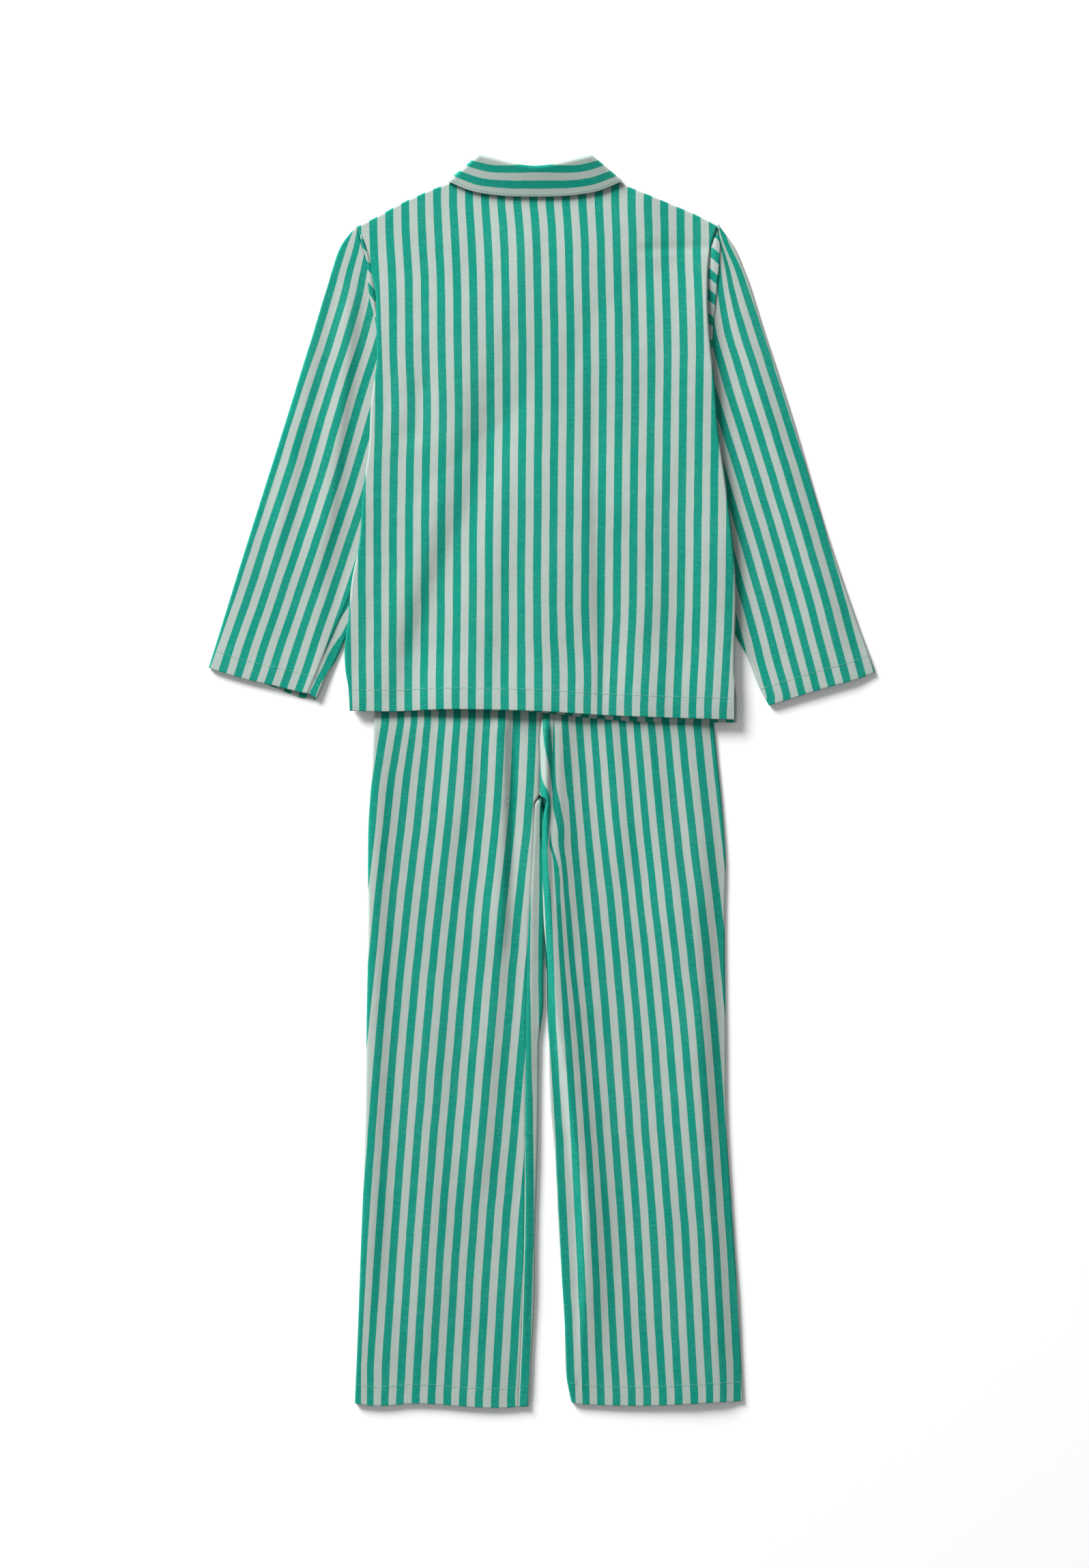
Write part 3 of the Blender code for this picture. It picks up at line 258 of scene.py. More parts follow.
RIGHT_LEG_STRIPES = {
    -5: [(-576, 28.2), (-521.6, 25.9), (-419.2, 20.5), (-316.8, 15.7), (-214.4, 9.6),
        (-163.2, 8.6), (-112, 6.4),
         (-76, 3.5)],
    -4: [(-576, 41.3), (-521.6, 39.7), (-419.2, 35.2), (-316.8, 29.8), (-214.4, 22.7),
        (-163.2, 18.6), (-112, 15.7),
         (-76, 13.1)],
    -3: [(-576, 55.4), (-521.6, 53.1), (-419.2, 48.6), (-316.8, 41.9), (-214.4, 33.0),
        (-163.2, 27.2), (-112, 23.0),
         (-76, 19.6)],
    -2: [(-576, 70.1), (-521.6, 66.9), (-419.2, 60.8), (-316.8, 53.1), (-214.4, 44.8),
        (-163.2, 40.3), (-112, 35.2),
         (-76, 31.9), (-35.2, 28.5), (54.4, 21.4)],
    0: [(-576, 98.9), (-521.6, 95.4), (-419.2, 89.6), (-316.8, 81.6), (-214.4, 74.2),
        (-163.2, 69.8), (-112, 64.6),
        (-35.2, 55.7), (54.4, 48.6)],
    4: [(-576, 157.4), (-521.6, 154.6), (-419.2, 148.8), (-316.8, 140.2), (-214.4, 131.2), (-163.2, 125.1),
        (-112, 119.0), (-35.2, 110.7), (54.4, 102.4)],
    6: [(-547, 182.8), (-451.2, 177.3), (-355.2, 170.6), (-259.2, 163.7), (-163.2, 154.6), (-99.2, 147.3),
        (-60.8, 142.5), (-22.4, 138.2), (16, 133.9), (54.4, 130.2)],
}  # fmt: skip
# Above the knee of the right leg a narrow tuck hides up to one stripe pair. Its fold line, as y, x,
# and the lines of stripes on both sides of it.
LEG_TUCK = [
    (-120, 11.5), (-76, 9.0), (-70.4, 8.3), (-63, 7.2), (-57.3, 6.9), (-49.1, 7.2), (-40, 7.6),
    (-30.8, 8.7), (-21.7, 9.4),
    (-12.5, 9.9), (-3.4, 10.1), (14.9, 10.3), (33.2, 10.2), (42.3, 10.3), (51.5, 10.7),
    (58.8, 11.3), (64.3, 11.7),
]  # fmt: skip
BEFORE_LEG_TUCK = {
    -5: [(-57.3, 2.8), (-49.1, 3.1), (-40, 3.6), (-30.8, 4.0), (-21.7, 5.2), (-17.1, 4.75),
        (-12.5, 3.1), (-8, 1.8),
         (-3.4, -0.3), (5.8, -3.5), (24, -4.8), (64.3, -8)],
    -4.75: [(-57.3, 5.5), (-49.1, 6.1), (-40, 7.0), (-30.8, 8.1), (-21.7, 8.4), (-17.1, 8.2),
        (-12.5, 7.3), (-7, 4.75),
            (-1.5, 1.8), (5.8, -0.27), (11.2, -0.92), (18.6, -1.46), (24, -2.2), (64.3, -5)],
    -4.25: [(-57.3, 12), (-21.7, 12.4), (-12.5, 10.1), (-3.4, 9.1), (5.8, 7.95), (14.9, 6.6),
        (22.2, 4.75), (30.4, 3.1),
            (39.6, 2.0), (51.5, 1.1), (64.3, 1.1)],
    -3.75: [(-57.3, 18), (-12.5, 14), (14.9, 11.5), (25.9, 10.2), (33.2, 9.5), (42.3, 8.7),
        (51.5, 7.95), (64.3, 7.3)],
}  # fmt: skip
AFTER_LEG_TUCK = {
    -4.25: [(-70.4, 10.1), (-60.8, 7.2), (-49.1, 3.9), (-40, 1.5), (-30.8, -1), (64.3, -6)],
    -3.75: [(-70.4, 12.9), (-60.8, 9.8), (-49.1, 7.95), (-40, 6.9), (-30.8, 6.0), (-21.7, 5.2),
        (-3.4, 4.5), (14.9, 3.0),
            (64.3, 1.0)],
    -3.25: [(-57.3, 15.5), (-49.1, 15.2), (-40, 13.8), (-30.8, 11.7), (-25.3, 10.4), (-18, 9.9),
        (-12.5, 9.7),
            (-3.4, 9.0), (14.9, 8.5), (42.3, 7.5), (64.3, 6.5)],
    -2.75: [(-57.3, 20.8), (-49.1, 21.0), (-40, 20.7), (-30.8, 18.9), (-21.7, 17.1),
        (-12.5, 15.1), (-3.4, 13.5),
            (5.8, 13.0), (14.9, 12.6), (33.2, 12.3), (42.3, 12.2), (51.5, 11.9), (58.8, 11.5),
            (64.3, 11.7)],
    -2.25: [(-57.3, 27.1), (-49.1, 26.7), (-40, 26.4), (-21.7, 25.3), (-3.4, 23.0), (14.9, 20.8),
        (33.2, 19.8),
            (51.5, 18.9), (64.3, 18.3)],
}  # fmt: skip
LEG_TUCK_COLUMN = 15
LEG_TUCK_FADE = (-112, -76)
# how far the centre seam has drifted towards the left leg, and the notch below it: y, x
SEAM_DRIFT = [(-40, 0.0), (-22, -1.0), (-12, -1.9), (0, -1.9), (24, -1.2), (42, -1.7), (56, -0.2),
    (64, 0.8), (216, 0.0)]
CROTCH_NOTCH = [(-46, 0.0), (-38, 0.7), (-30.8, 1.9), (-25, 3.6), (-20, 5.2), (-17, 5.4),
    (-15.2, 3.4), (-13.5, 0.0)]
SEAT_STITCHES = [(64, 2.4), (51.5, 2.3), (42.3, 2.2), (33.2, 1.5), (22.2, 0.6), (13, -0.1),
    (5.8, -0.3), (-3.4, 0.0), (-8, 0.9)]
LEFT_INSEAM = [
    (-600, -22), (-576, -21.1), (-521.6, -18.6), (-419.2, -16), (-320, -15.4), (-213.1, -14.1),
    (-134.4, -12.2),
    (-95.4, -9.6), (-57.3, -7.6), (-27, -6.5), (-16, -6.2), (250, -6.0),
]  # fmt: skip

UNDER_STRIPE = 0.5  # middle of the green stripe of the lower layers that shows between the legs
INNER_SPREAD = 4.5  # how far the left leg's inner fold leans out low down, below the crotch
STRIP_SHARES = (0.03, 0.07, 0.13, 0.22, 0.34, 0.48, 0.62, 0.76, 0.88, 0.95, 1.0)
INSEAM_DIP = 0.45
INSEAM_DIP_REACH = 1.6
SEAM_GAP = 0.35  # between the two sides of the centre seam
# middle of the green stripe that runs down the left inseam: y, x
LEFT_STRIP_STRIPE = [
    (-600, -17.4), (-576, -16.6), (-521.6, -14.0), (-470.4, -12.7), (-419.2, -11.4),
    (-316.8, -12.1), (-265.6, -13.4),
    (-163.2, -14.6), (-112, -14.0), (-60, -13.6), (250, -12.0),
]  # fmt: skip

# ---- Folds pressed into the upper layers: half width, height, path of x, y ----------------------

BACK_FOLDS = [
    ((14, 26), -2.5, [(-38, 410), (-43, 381), (-50, 304), (-67, 256), (-88, 208), (-106, 160),
        (-123, 112), (-134, 60),
                      (-138, 20)]),
    ((22, 12), 1.0, [(-74, 400), (-80, 330), (-104, 240), (-128, 160), (-146, 90)]),
    ((6, 20), -1.5, [(46, 400), (50, 259), (55, 157), (59, 66), (60, 20)]),
    ((44, 26), 3.6, [(168, 560), (168, 470), (169, 360), (171, 260), (173, 160), (174, 20)]),
    ((34, 20), 1.4, [(92, 330), (96, 200), (102, 110), (106, 20)]),
    (4.5, -0.8, [(80, 497), (110, 499), (140, 500), (170, 501)]),
    (12, -0.8, [(-108, 385), (-116, 345), (-120, 310)]),
    (13, 0.9, [(-120, 440), (-128, 380), (-133, 320)]),
    (10, -0.9, [(92, 505), (90, 450), (86, 400)]),
    ((10, 20), -0.8, [(-20, 330), (-26, 240), (-34, 150), (-40, 60)]),
]
LEFT_SLEEVE_FOLDS = [
    ((14, 9), 1.5, [(-196, 500), (-204, 462), (-216, 400), (-226, 340), (-240, 270), (-254, 190)]),
    ((15, 8), 1.9, [(-168, 500), (-173, 457.6), (-181, 400), (-190, 330), (-201, 246), (-215, 170)]),
    (12, -0.7, [(-236, 330), (-252, 260), (-268, 190)]),
]
RIGHT_SLEEVE_FOLDS = [
    ((30, 20), 1.4, [(186, 490), (212, 410), (244, 300), (270, 195), (292, 90)]),
    (2.6, -0.9, [(168, 512), (172.8, 499), (177, 480), (182, 455), (188, 430)]),
    (14, -1.0, [(182, 380), (205, 290), (224, 200), (236, 120)]),
]
LEFT_LEG_FOLDS = [
    ((10, 11), 2.2, [(-150, 100), (-151, 54), (-155, -35), (-156, -163), (-157, -291),
        (-160, -419), (-164, -540)]),
    ((20, 4.5), 3.2, [(-34, 120), (-34.5, 60), (-34.5, -35), (-35, -80), (-37, -130), (-40, -180)]),
    ((3.5, 7), -1.5, [(-29, 120), (-29.5, 60), (-29.5, -35), (-31, -90), (-33, -130)]),
    ((18, 9), 1.6, [(-38, -100), (-41, -170), (-47, -227), (-54, -323), (-60, -400)]),
    ((12, 7), 1.5, [(-64, 110), (-67, 50), (-70, 0), (-74, -60)]),
    ((8, 5), 1.3, [(-8, 90), (-8, 20), (-9, -100), (-11, -250), (-14, -420), (-19, -580)]),
    ((14, 9), 1.0, [(-82, 100), (-85, 20), (-88, -60), (-92, -120)]),
    ((24, 16), 1.0, [(-100, -120), (-106, -330), (-112, -560)]),
]
RIGHT_LEG_FOLDS = [
    ((5, 4), 1.5, [(2, 110), (3.5, 60), (4, 20), (4.5, -20), (3.8, -57), (4.5, -90), (6.5, -160)]),
    ((3.5, 5), -1.3, [(12, 110), (11, 60), (10.3, 20), (9.5, -20), (7.4, -50), (9, -76), (12, -130)]),
    ((5, 19), 5.6, [(4, 200), (4, 54), (5, -30), (7, -80), (10, -150), (14, -210), (26, -291), (39, -394),
                    (41, -483), (37, -580)]),
    ((72, 14), 2.8, [(148, 40), (156, -100), (160, -300), (168, -450), (174, -660)]),
    ((16, 9), 1.3, [(62, 110), (66, 50), (72, -20), (80, -100)]),
    ((28, 24), 1.9, [(92, 100), (96.6, 48), (118, -67), (144, -227), (153, -323), (158, -420)]),
    ((10, 8), -1.0, [(106, 70), (116, 20), (130, -60), (140, -120)]),
]
LEFT_TUCK = {
    "seam": [(560, -175), (507.5, -169.0), (500.2, -165.8), (489.6, -162.6), (478.9, -159.4),
        (468.3, -157.8),
             (455.5, -156.5), (440.5, -155.6), (426.7, -155.1), (410, -153.6)],
    "fold": [(560, -175), (507.5, -169.5), (500.2, -168.2), (491.7, -165.2), (478.9, -163.2), (464, -162.6),
             (449.1, -160.4), (437.3, -157.2), (426.7, -155.4), (410, -154.0)],
}  # fmt: skip
RIGHT_TUCK = {
    "seam": [(404.5, 158.5), (414.9, 157.1), (425.6, 155.5), (436.5, 154.5), (452.5, 154.7),
             (468.5, 155.5), (479, 156.4), (489.6, 158.1), (500.5, 159.8), (507.7, 161.9), (514, 164.0)],
    "fold": [(404.5, 159.0), (412.8, 159.8), (430.9, 160.8), (444.8, 162.4), (468.5, 164.5), (484.5, 166.2),
             (495, 166.7), (502.6, 167.0), (508, 165.8), (514, 164.6)],
}  # fmt: skip
LEFT_TUCK_STRIPES = [(530, -2.2), (484.6, -0.25), (473.6, 0.25), (460.5, 0.75), (448.5, 1.25),
    (434, 1.75), (414, 2.5)]
RIGHT_TUCK_STRIPES = [
    (520, -1.3), (500.3, -0.25), (490.9, 0.25), (481.1, 0.75), (472.5, 1.25), (462.4, 1.75), (451.8, 2.25),
    (440, 2.75), (429.9, 3.25), (414.9, 3.75), (404, 4.25),
]  # fmt: skip

SLEEVES = {
    "left": dict(
        outer=LEFT_OUTER, inner=LEFT_INNER, cuff=LEFT_CUFF, armhole=LEFT_ARMHOLE,
        folds=LEFT_SLEEVE_FOLDS, stripes=LEFT_SLEEVE_STRIPES, tuck=LEFT_TUCK,
        tuck_stripes=LEFT_TUCK_STRIPES, tuck_slant=-1.5, mirror=1, seed=31,
    ),
    "right": dict(
        outer=RIGHT_OUTER, inner=RIGHT_INNER, cuff=RIGHT_CUFF, armhole=RIGHT_ARMHOLE,
        folds=RIGHT_SLEEVE_FOLDS, stripes=RIGHT_SLEEVE_STRIPES, tuck=RIGHT_TUCK,
        tuck_stripes=RIGHT_TUCK_STRIPES, tuck_slant=0.8, mirror=-1, seed=41,
    ),
}  # fmt: skip
# outer fold, inner fold, hem, folds, stripes and the seed of its waves
LEGS = {
    "left": (LEG_LEFT_OUTER, LEG_LEFT_INNER, LEG_LEFT_HEM, LEFT_LEG_FOLDS, LEFT_LEG_STRIPES, 51),
    "right": (LEG_RIGHT_OUTER, LEG_RIGHT_INNER, LEG_RIGHT_HEM, RIGHT_LEG_FOLDS, RIGHT_LEG_STRIPES, 61),
}

# ---- Small tools --------------------------------------------------------------------------------


def ramp(value, zero, one):
    """A smooth step: 0 where value is at or before zero, 1 at or past one."""
    f = np.clip((value - zero) / (one - zero), 0.0, 1.0)
    return f * f * (3 - 2 * f)


def curve(rows):
    """A smooth function through the rows (t, value), with t rising."""
    t, value = np.array(rows, float).T
    slope = np.gradient(value, t)

    def at(where):
        where = np.clip(where, t[0], t[-1])
        i = np.clip(np.searchsorted(t, where) - 1, 0, len(t) - 2)
        h = t[i + 1] - t[i]
        f = (where - t[i]) / h
        start = (1 + 2 * f) * (1 - f) ** 2 * value[i] + f * (1 - f) ** 2 * h * slope[i]
        end = f * f * (3 - 2 * f) * value[i + 1] - f * f * (1 - f) * h * slope[i + 1]
        return start + end

    return at


def run_along(points):
    """Distance of each point from the first one, along the line."""
    return np.concatenate([[0], np.cumsum(np.linalg.norm(np.diff(points, axis=0), axis=1))])


def line_through(points):
    """A function of 0..1, by length, along a smooth curve through the plan points."""
    points = np.array(points, float)
    along = run_along(points)
    x, y = (curve(list(zip(along / along[-1], values))) for values in points.T)
    return lambda t: np.array([x(t), y(t)])


def fold_height(folds, x, y):
    """The summed height of the folds at x, y; each fades out towards its two ends.

    A fold's width is one number, or one for each side of a path that runs down the garment.
    """
    total = np.zeros(np.broadcast(x, y).shape)
    for width, height, path in folds:
        before, after = width if isinstance(width, tuple) else (width, width)
        path = np.array(path, float)
        starts = run_along(path)
        nearest = np.full(total.shape, np.inf)
        along = np.zeros(total.shape)
        for i, length in enumerate(np.diff(starts)):
            step = (path[i + 1] - path[i]) / length
            dx, dy = x - path[i, 0], y - path[i, 1]
            f = np.clip(dx * step[0] + dy * step[1], 0, length)
            distance = np.hypot(dx - f * step[0], dy - f * step[1])
            distance = distance / np.where(dx * step[1] < dy * step[0], after, before)
            closer = distance < nearest
            nearest = np.where(closer, distance, nearest)
            along = np.where(closer, (starts[i] + f) / starts[-1], along)
        total += height * np.exp(-(nearest**2)) * ramp(along, 0.0, 0.25) * ramp(along, 1.0, 0.8)
    return total


def crumple(x, y, seed, height, size):
    """Shallow uneven waves about size millimetres long, up to height high."""
    draw = np.random.default_rng(seed)
    total = np.zeros(np.broadcast(x, y).shape)
    for _ in range(9):
        heading = draw.uniform(0, math.tau)
        length = size * draw.uniform(0.6, 1.7)
        phase = draw.uniform(0, math.tau)
        total += np.sin((x * math.cos(heading) + y * math.sin(heading)) * math.tau / length + phase)
    return total * height / 4.5


def steps_between(first, count, last):
    """(share, from the start, from the end) of a row of cells: fixed at both ends, even between."""
    start = [(0.0, s, 0.0) for s in first[:-1]]
    middle = [(f, first[-1], last[-1]) for f in np.linspace(0, 1, count + 1)]
    end = [(1.0, 0.0, s) for s in last[-2::-1]]
    return np.array(start + middle + end)


def panel_plan(left, right, low, high, rows, columns):
    """Plan points [row, column, xy] of a panel between two side edges and two end lines."""
    share, up, down = rows.T
    across, inward, outward = columns.T

    def row_y(x, share=share, up=up, down=down):
        return (1 - share) * (low(x) + up) + share * (high(x) - down)

    ends = []
    for edge in (left, right):
        x = edge(row_y(np.full(len(share), float(edge(200.0)))))
        for _ in range(40):
            x = 0.5 * x + 0.5 * edge(row_y(x))
        ends.append(x[:, None])
    xs = (1 - across) * (ends[0] + inward) + across * (ends[1] - outward)
    return np.dstack([xs, row_y(xs, *(v[:, None] for v in (share, up, down)))])


def surface_normals(points):
    """Unit normals of a grid of points, by differences, on the side of +Z for a flat grid."""
    normal = np.cross(np.gradient(points, axis=1), np.gradient(points, axis=0))
    return normal / np.linalg.norm(normal, axis=2, keepdims=True)


def stripe_count(lines, pair=STRIPE_PAIR):
    """A function of x, y that counts stripe pairs from the lines, beyond them at an even pitch."""
    counts = sorted(lines)
    at = [curve(lines[c]) for c in counts]

    def count(x, y):
        xs = [line(y) for line in at]
        total = counts[0] + (x - xs[0]) / pair
        for k in range(len(counts) - 1):
            f = (x - xs[k]) / np.maximum(xs[k + 1] - xs[k], 0.05)
            total = np.where(x > xs[k], counts[k] + f * (counts[k + 1] - counts[k]), total)
        return np.where(x > xs[-1], counts[-1] + (x - xs[-1]) / pair, total)

    return count


def beside_tuck(above):
    """The stripe lines of one side of the leg's tuck, joined to the ones below it."""
    joined = {c: line for c, line in RIGHT_LEG_STRIPES.items() if c >= -2}
    for c, line in above.items():
        first, part = math.floor(c), c - math.floor(c)
        next_line = curve(RIGHT_LEG_STRIPES[first + 1])
        below = [(y, (1 - part) * x + part * next_line(y)) for y, x in RIGHT_LEG_STRIPES[first] if y <= -76]
        joined[c] = below + line
    return joined


# ---- Shells ---------------------------------------------------------------------------------------


def edge_round(distance, radius):
    """The share of the wall's half thickness at that distance inside a free edge."""
    f = 1 - np.clip(distance / radius, 0, 1)
    return np.maximum(np.sqrt(1 - f * f), 0.3)


def add_object(name, data):
    obj = bpy.data.objects.new(name, data)
    bpy.context.scene.collection.objects.link(obj)
    return obj


def put_mesh(name, points, faces, grain=None):
    """A mesh object from points in the tables' millimetres, with its grain as the UV map."""
    mesh = bpy.data.meshes.new(name)
    mesh.from_pydata(((points - BOX_CENTRE) * MM).tolist(), [], faces.tolist())
    if grain is not None:
        layer = mesh.uv_layers.new(name="Grain")
        layer.data.foreach_set("uv", grain.reshape(-1).astype(np.float32))
    mesh.shade_smooth()
    return add_object(name, mesh)


def shell(name, middle, normals, thick, inner, grain, ring=False, flip=False, past=None):
    """A closed wall about a grid of middle points.

    thick and inner are the half walls on the side of the normals and away from it. grain holds a UV
    for each grid point. With ring, the last column is the first one again, with its own grain. past
    is the column of a tuck and the grain of all that lies beyond it.
    """
    rows, columns = middle.shape[:2]
    used = columns - 1 if ring else columns
    outer = (middle + normals * thick[..., None])[:, :used].reshape(-1, 3)
    under = (middle - normals * inner[..., None])[:, :used].reshape(-1, 3)
    j, i = (a.ravel() for a in np.meshgrid(np.arange(rows - 1), np.arange(columns - 1), indexing="ij"))
    corners = [(j, i), (j, i + 1), (j + 1, i + 1), (j + 1, i)]
    ids = np.stack([a * used + b % used for a, b in corners], axis=1)
    uv = np.stack([grain[a, b] for a, b in corners], axis=1)
    if past:
        beyond = i >= past[0]
        uv[beyond] = np.stack([past[1][a, b] for a, b in corners], axis=1)[beyond]
    base = len(outer)
    faces = [ids, ids[:, ::-1] + base]
    uvs = [uv, uv[:, ::-1]]
    i, j = np.arange(columns - 1), np.arange(rows - 1)
    rims = [((0, i + 1), (0, i)), ((rows - 1, i), (rows - 1, i + 1))]
    if not ring:
        rims += [((j, 0), (j + 1, 0)), ((j + 1, columns - 1), (j, columns - 1))]
    for ends in rims:
        ends = [np.broadcast_arrays(*end) for end in ends]
        first, second = (r * used + c % used for r, c in ends)
        faces.append(np.stack([first, second, second + base, first + base], axis=1))
        first, second = (grain[r, c] for r, c in ends)
        uvs.append(np.stack([first, second, second, first], axis=1))
    faces, uvs = np.concatenate(faces), np.concatenate(uvs)
    if flip:
        faces, uvs = faces[:, ::-1], uvs[:, ::-1]
    return put_mesh(name, np.concatenate([outer, under]), faces, uvs)


def outward(plan, axis):
    """Unit plan vectors that point off each line's nearer end along that axis."""
    step = np.gradient(plan, axis=axis)
    step /= np.linalg.norm(step, axis=2, keepdims=True)
    if axis == 1:
        step[:, : plan.shape[1] // 2] *= -1
    return np.dstack([step, np.zeros(plan.shape[:2])])


def roll_angle(distance):
    """The angle round a rolled edge, a right angle away from it."""
    return np.arccos(np.clip(1 - distance / ROLL, 0, 1))


def edge_angle(columns):
    """The angle of each column round the rolled edges at both ends of a row."""
    share, inward, outward_by = columns.T
    beside = np.where(share < 0.5, inward, outward_by)
    return roll_angle(np.where((share > 0) & (share < 1), ROLL, beside))[None, :]


def round_edge(top, low):
    """The columns of the upper layer, then those of the lower one back to the first edge."""
    return np.concatenate([top, low[:, -2::-1]], axis=1)


def rolled_sheet(plan, height, seam, side, across, up=None):
    """Middle points and outward normals of a layer that rolls to the seam at its edges."""
    up = np.full(plan.shape[:2], RIGHT_ANGLE) if up is None else up
    rise = np.minimum(np.sin(across), np.sin(up))
    points = np.dstack([plan, seam + (height - seam) * rise])
    normal = side * surface_normals(np.dstack([plan, height])) * np.maximum(rise, 0.02)[..., None]
    normal = normal + outward(plan, 1) * np.cos(across)[..., None]
    normal = normal + outward(plan, 0) * np.cos(up)[..., None]
    return points, normal / np.linalg.norm(normal, axis=2, keepdims=True)


ROLL_STEPS = tuple(ROLL * (1 - math.cos(math.radians(a))) for a in range(0, 91, 15))
SIDE_CELLS = ROLL_STEPS + (ROLL + 1.5,)
LEG_CELLS = ROLL_STEPS + (ROLL + 1.2,)
SEAM_CELLS = (ROLL + 1.2, 5.0, 7.5, 9.2, 9.7, SEAM_INSET, SEAM_INSET + 0.5, SEAM_INSET + 2)
BODY_COLUMNS = steps_between(SIDE_CELLS, 110, SIDE_CELLS)

# ---- The stack of layers --------------------------------------------------------------------------

body_left, body_right = curve(BODY_LEFT), curve(BODY_RIGHT)
back_hem = curve(BACK_HEM_LINE)
front_drop = curve(FRONT_DROP)
left_inner_fold = curve([(y, x) for x, y in LEFT_INNER])
right_inner_fold = curve([(y, x) for x, y in RIGHT_INNER])


def over_sleeves(x, y, slope):
    """1 where the body lies on a sleeve, 0 from a slope's width beside it."""
    left_fold, right_fold = left_inner_fold(y) + SLEEVE_CLEAR, right_inner_fold(y) - SLEEVE_CLEAR
    left, right = ramp(x, left_fold + slope, left_fold), ramp(x, right_fold - slope, right_fold)
    return np.maximum(left, right) * ramp(y, *ARMHOLE_LEVEL)


def body_lift(x, y, slope):
    """What the layers under the jacket's body raise it by."""
    over_waist = ramp(y, WAIST_CLEAR + slope, WAIST_CLEAR)
    stacked = STACK_LIFT * np.maximum(over_waist, over_sleeves(x, y, slope))
    return np.maximum(stacked, COLLAR_LIFT * ramp(y, *NECK_LEVEL) * ramp(abs(x - COLLAR_CENTRE), *NECK_SIDES))


def front_height(x, y):
    """Middle height of the left front, the lower of the two."""
    placket = PLACKET_LIFT * ramp(abs(x - FRONT_CENTRE), PLACKET_SIDE, OVERLAP + 2) * ramp(y, *PLACKET_TOP)
    return FLOOR_LAYER + body_lift(x, y, FRONT_SLOPE) + placket


def inner_front_height(x, y):
    """Middle height of the right front, which lies on the left one's edge."""
    apart = ramp(x - FRONT_CENTRE, OVERLAP + 3, PLACKET_SIDE + 4)
    return front_height(x, y) + TOUCHING + (LOOSE - TOUCHING) * apart


def hem_pucker(distance, along, seed):
    """Small ripples that the stitching draws up beside its line."""
    draw = np.random.default_rng(seed)
    wave = np.zeros(np.shape(along))
    for length in (6.5, 9.0, 13.0):
        wave = wave + np.sin(along * math.tau / length + draw.uniform(0, math.tau))
    return 0.09 * wave * np.exp(-((distance / 6.0) ** 2))


def creases(folds, x, y, seed, size, height):
    """The folds, with long shallow waves of that size and height and finer ones over them."""
    waves = crumple(x, y, seed, height, size) + crumple(x, y, seed + 1, height * 0.3, 24)
    return fold_height(folds, x, y) + waves


def back_height(x, y):
    """Middle height of the jacket's back."""
    below_collar = ramp(y, *UNDER_COLLAR)
    free = below_collar + (1 - below_collar) * ramp(abs(x - COLLAR_CENTRE), *UNDER_COLLAR_SIDES)
    crown = CROWN * ramp(abs(x - FRONT_CENTRE), *CROWN_SIDES) * ramp(y, *CROWN_LEVEL)
    hem = hem_pucker(y - back_hem(x) - BACK_HEM, x, 5) + HEM_RISE * ramp(y, *HEM_RISE_LEVEL)
    puff = (PUFF + creases(BACK_FOLDS, x, y, 3, 75, 0.4)) * free
    return FLOOR_LAYER + body_lift(x, y, BACK_SLOPE) + LOOSE + puff + crown + hem


def leg_top_height(side, folds, seed, hem_line):
    """A function of x, y: middle height of a leg's upper layer."""
    outer_fold = curve(LEG_RIGHT_OUTER)

    def height(x, y):
        loose = ramp(y, *UNDER_JACKET)
        if side == "right":
            loose = loose * (1 - LEG_PRESS * (1 - ramp(outer_fold(y) - x, 0, EDGE_PRESS)))
        puff = (LEG_PUFF + creases(folds, x, y, seed, 80, 0.3)) * loose
        above = FLOOR_LAYER + LOOSE + puff + hem_pucker(y - hem_line(x) - LEG_HEM, x, seed + 2)
        return np.maximum(above, FLOOR_LAYER + TOUCHING)

    return height


# ---- Cotton ---------------------------------------------------------------------------------------

GREEN = (0.0, 0.266, 0.19, 1.0)
PALE = (0.367, 0.436, 0.399, 1.0)


def socket(tree, name, kind, default=None, output=False):
    made = tree.interface.new_socket(
        name, in_out="OUTPUT" if output else "INPUT", socket_type="NodeSocket" + kind
    )  # fmt: skip
    if default is not None:
        made.default_value = default


class Nodes:
    """Short hand for adding nodes to a tree and joining them."""

    def __init__(self, tree):
        self.tree = tree

    def link(self, value, place):
        self.tree.links.new(value, place)

    def fill(self, node, inputs):
        """Links each socket in inputs to the node, and sets each plain value."""
        for key, value in dict(inputs).items():
            if isinstance(value, bpy.types.NodeSocket):
                self.link(value, node.inputs[key])
            else:
                node.inputs[key].default_value = value
        return node

    def add(self, kind, _inputs=(), **settings):
        node = self.tree.nodes.new(kind)
        for key, value in settings.items():
            setattr(node, key, value)
        return self.fill(node, _inputs)

    def math(self, operation, *values, clamp=False):
        return self.add("ShaderNodeMath", enumerate(values), operation=operation, use_clamp=clamp).outputs[0]

    def total(self, start, *parts, clamp=False):
        """start plus each part times its weight."""
        for value, weight in parts:
            last = clamp and (value, weight) == parts[-1]
            start = self.math("ADD", start, self.math("MULTIPLY", value, weight), clamp=last)
        return start

    def mix(self, factor, first, second, blend="MIX"):
        node = self.add("ShaderNodeMix", data_type="RGBA", blend_type=blend)
        return self.fill(node, {0: factor, 6: first, 7: second}).outputs[2]

    def tone(self, colour, value):
        """The colour times a grey of that value."""
        grey = self.add("ShaderNodeCombineColor", dict.fromkeys(range(3), value)).outputs[0]
        return self.mix(1.0, colour, grey, "MULTIPLY")

    def range(self, value, low, high, to_low=0.0, to_high=1.0):
        inputs = enumerate((value, low, high, to_low, to_high))
        return self.add("ShaderNodeMapRange", inputs, interpolation_type="SMOOTHSTEP").outputs[0]


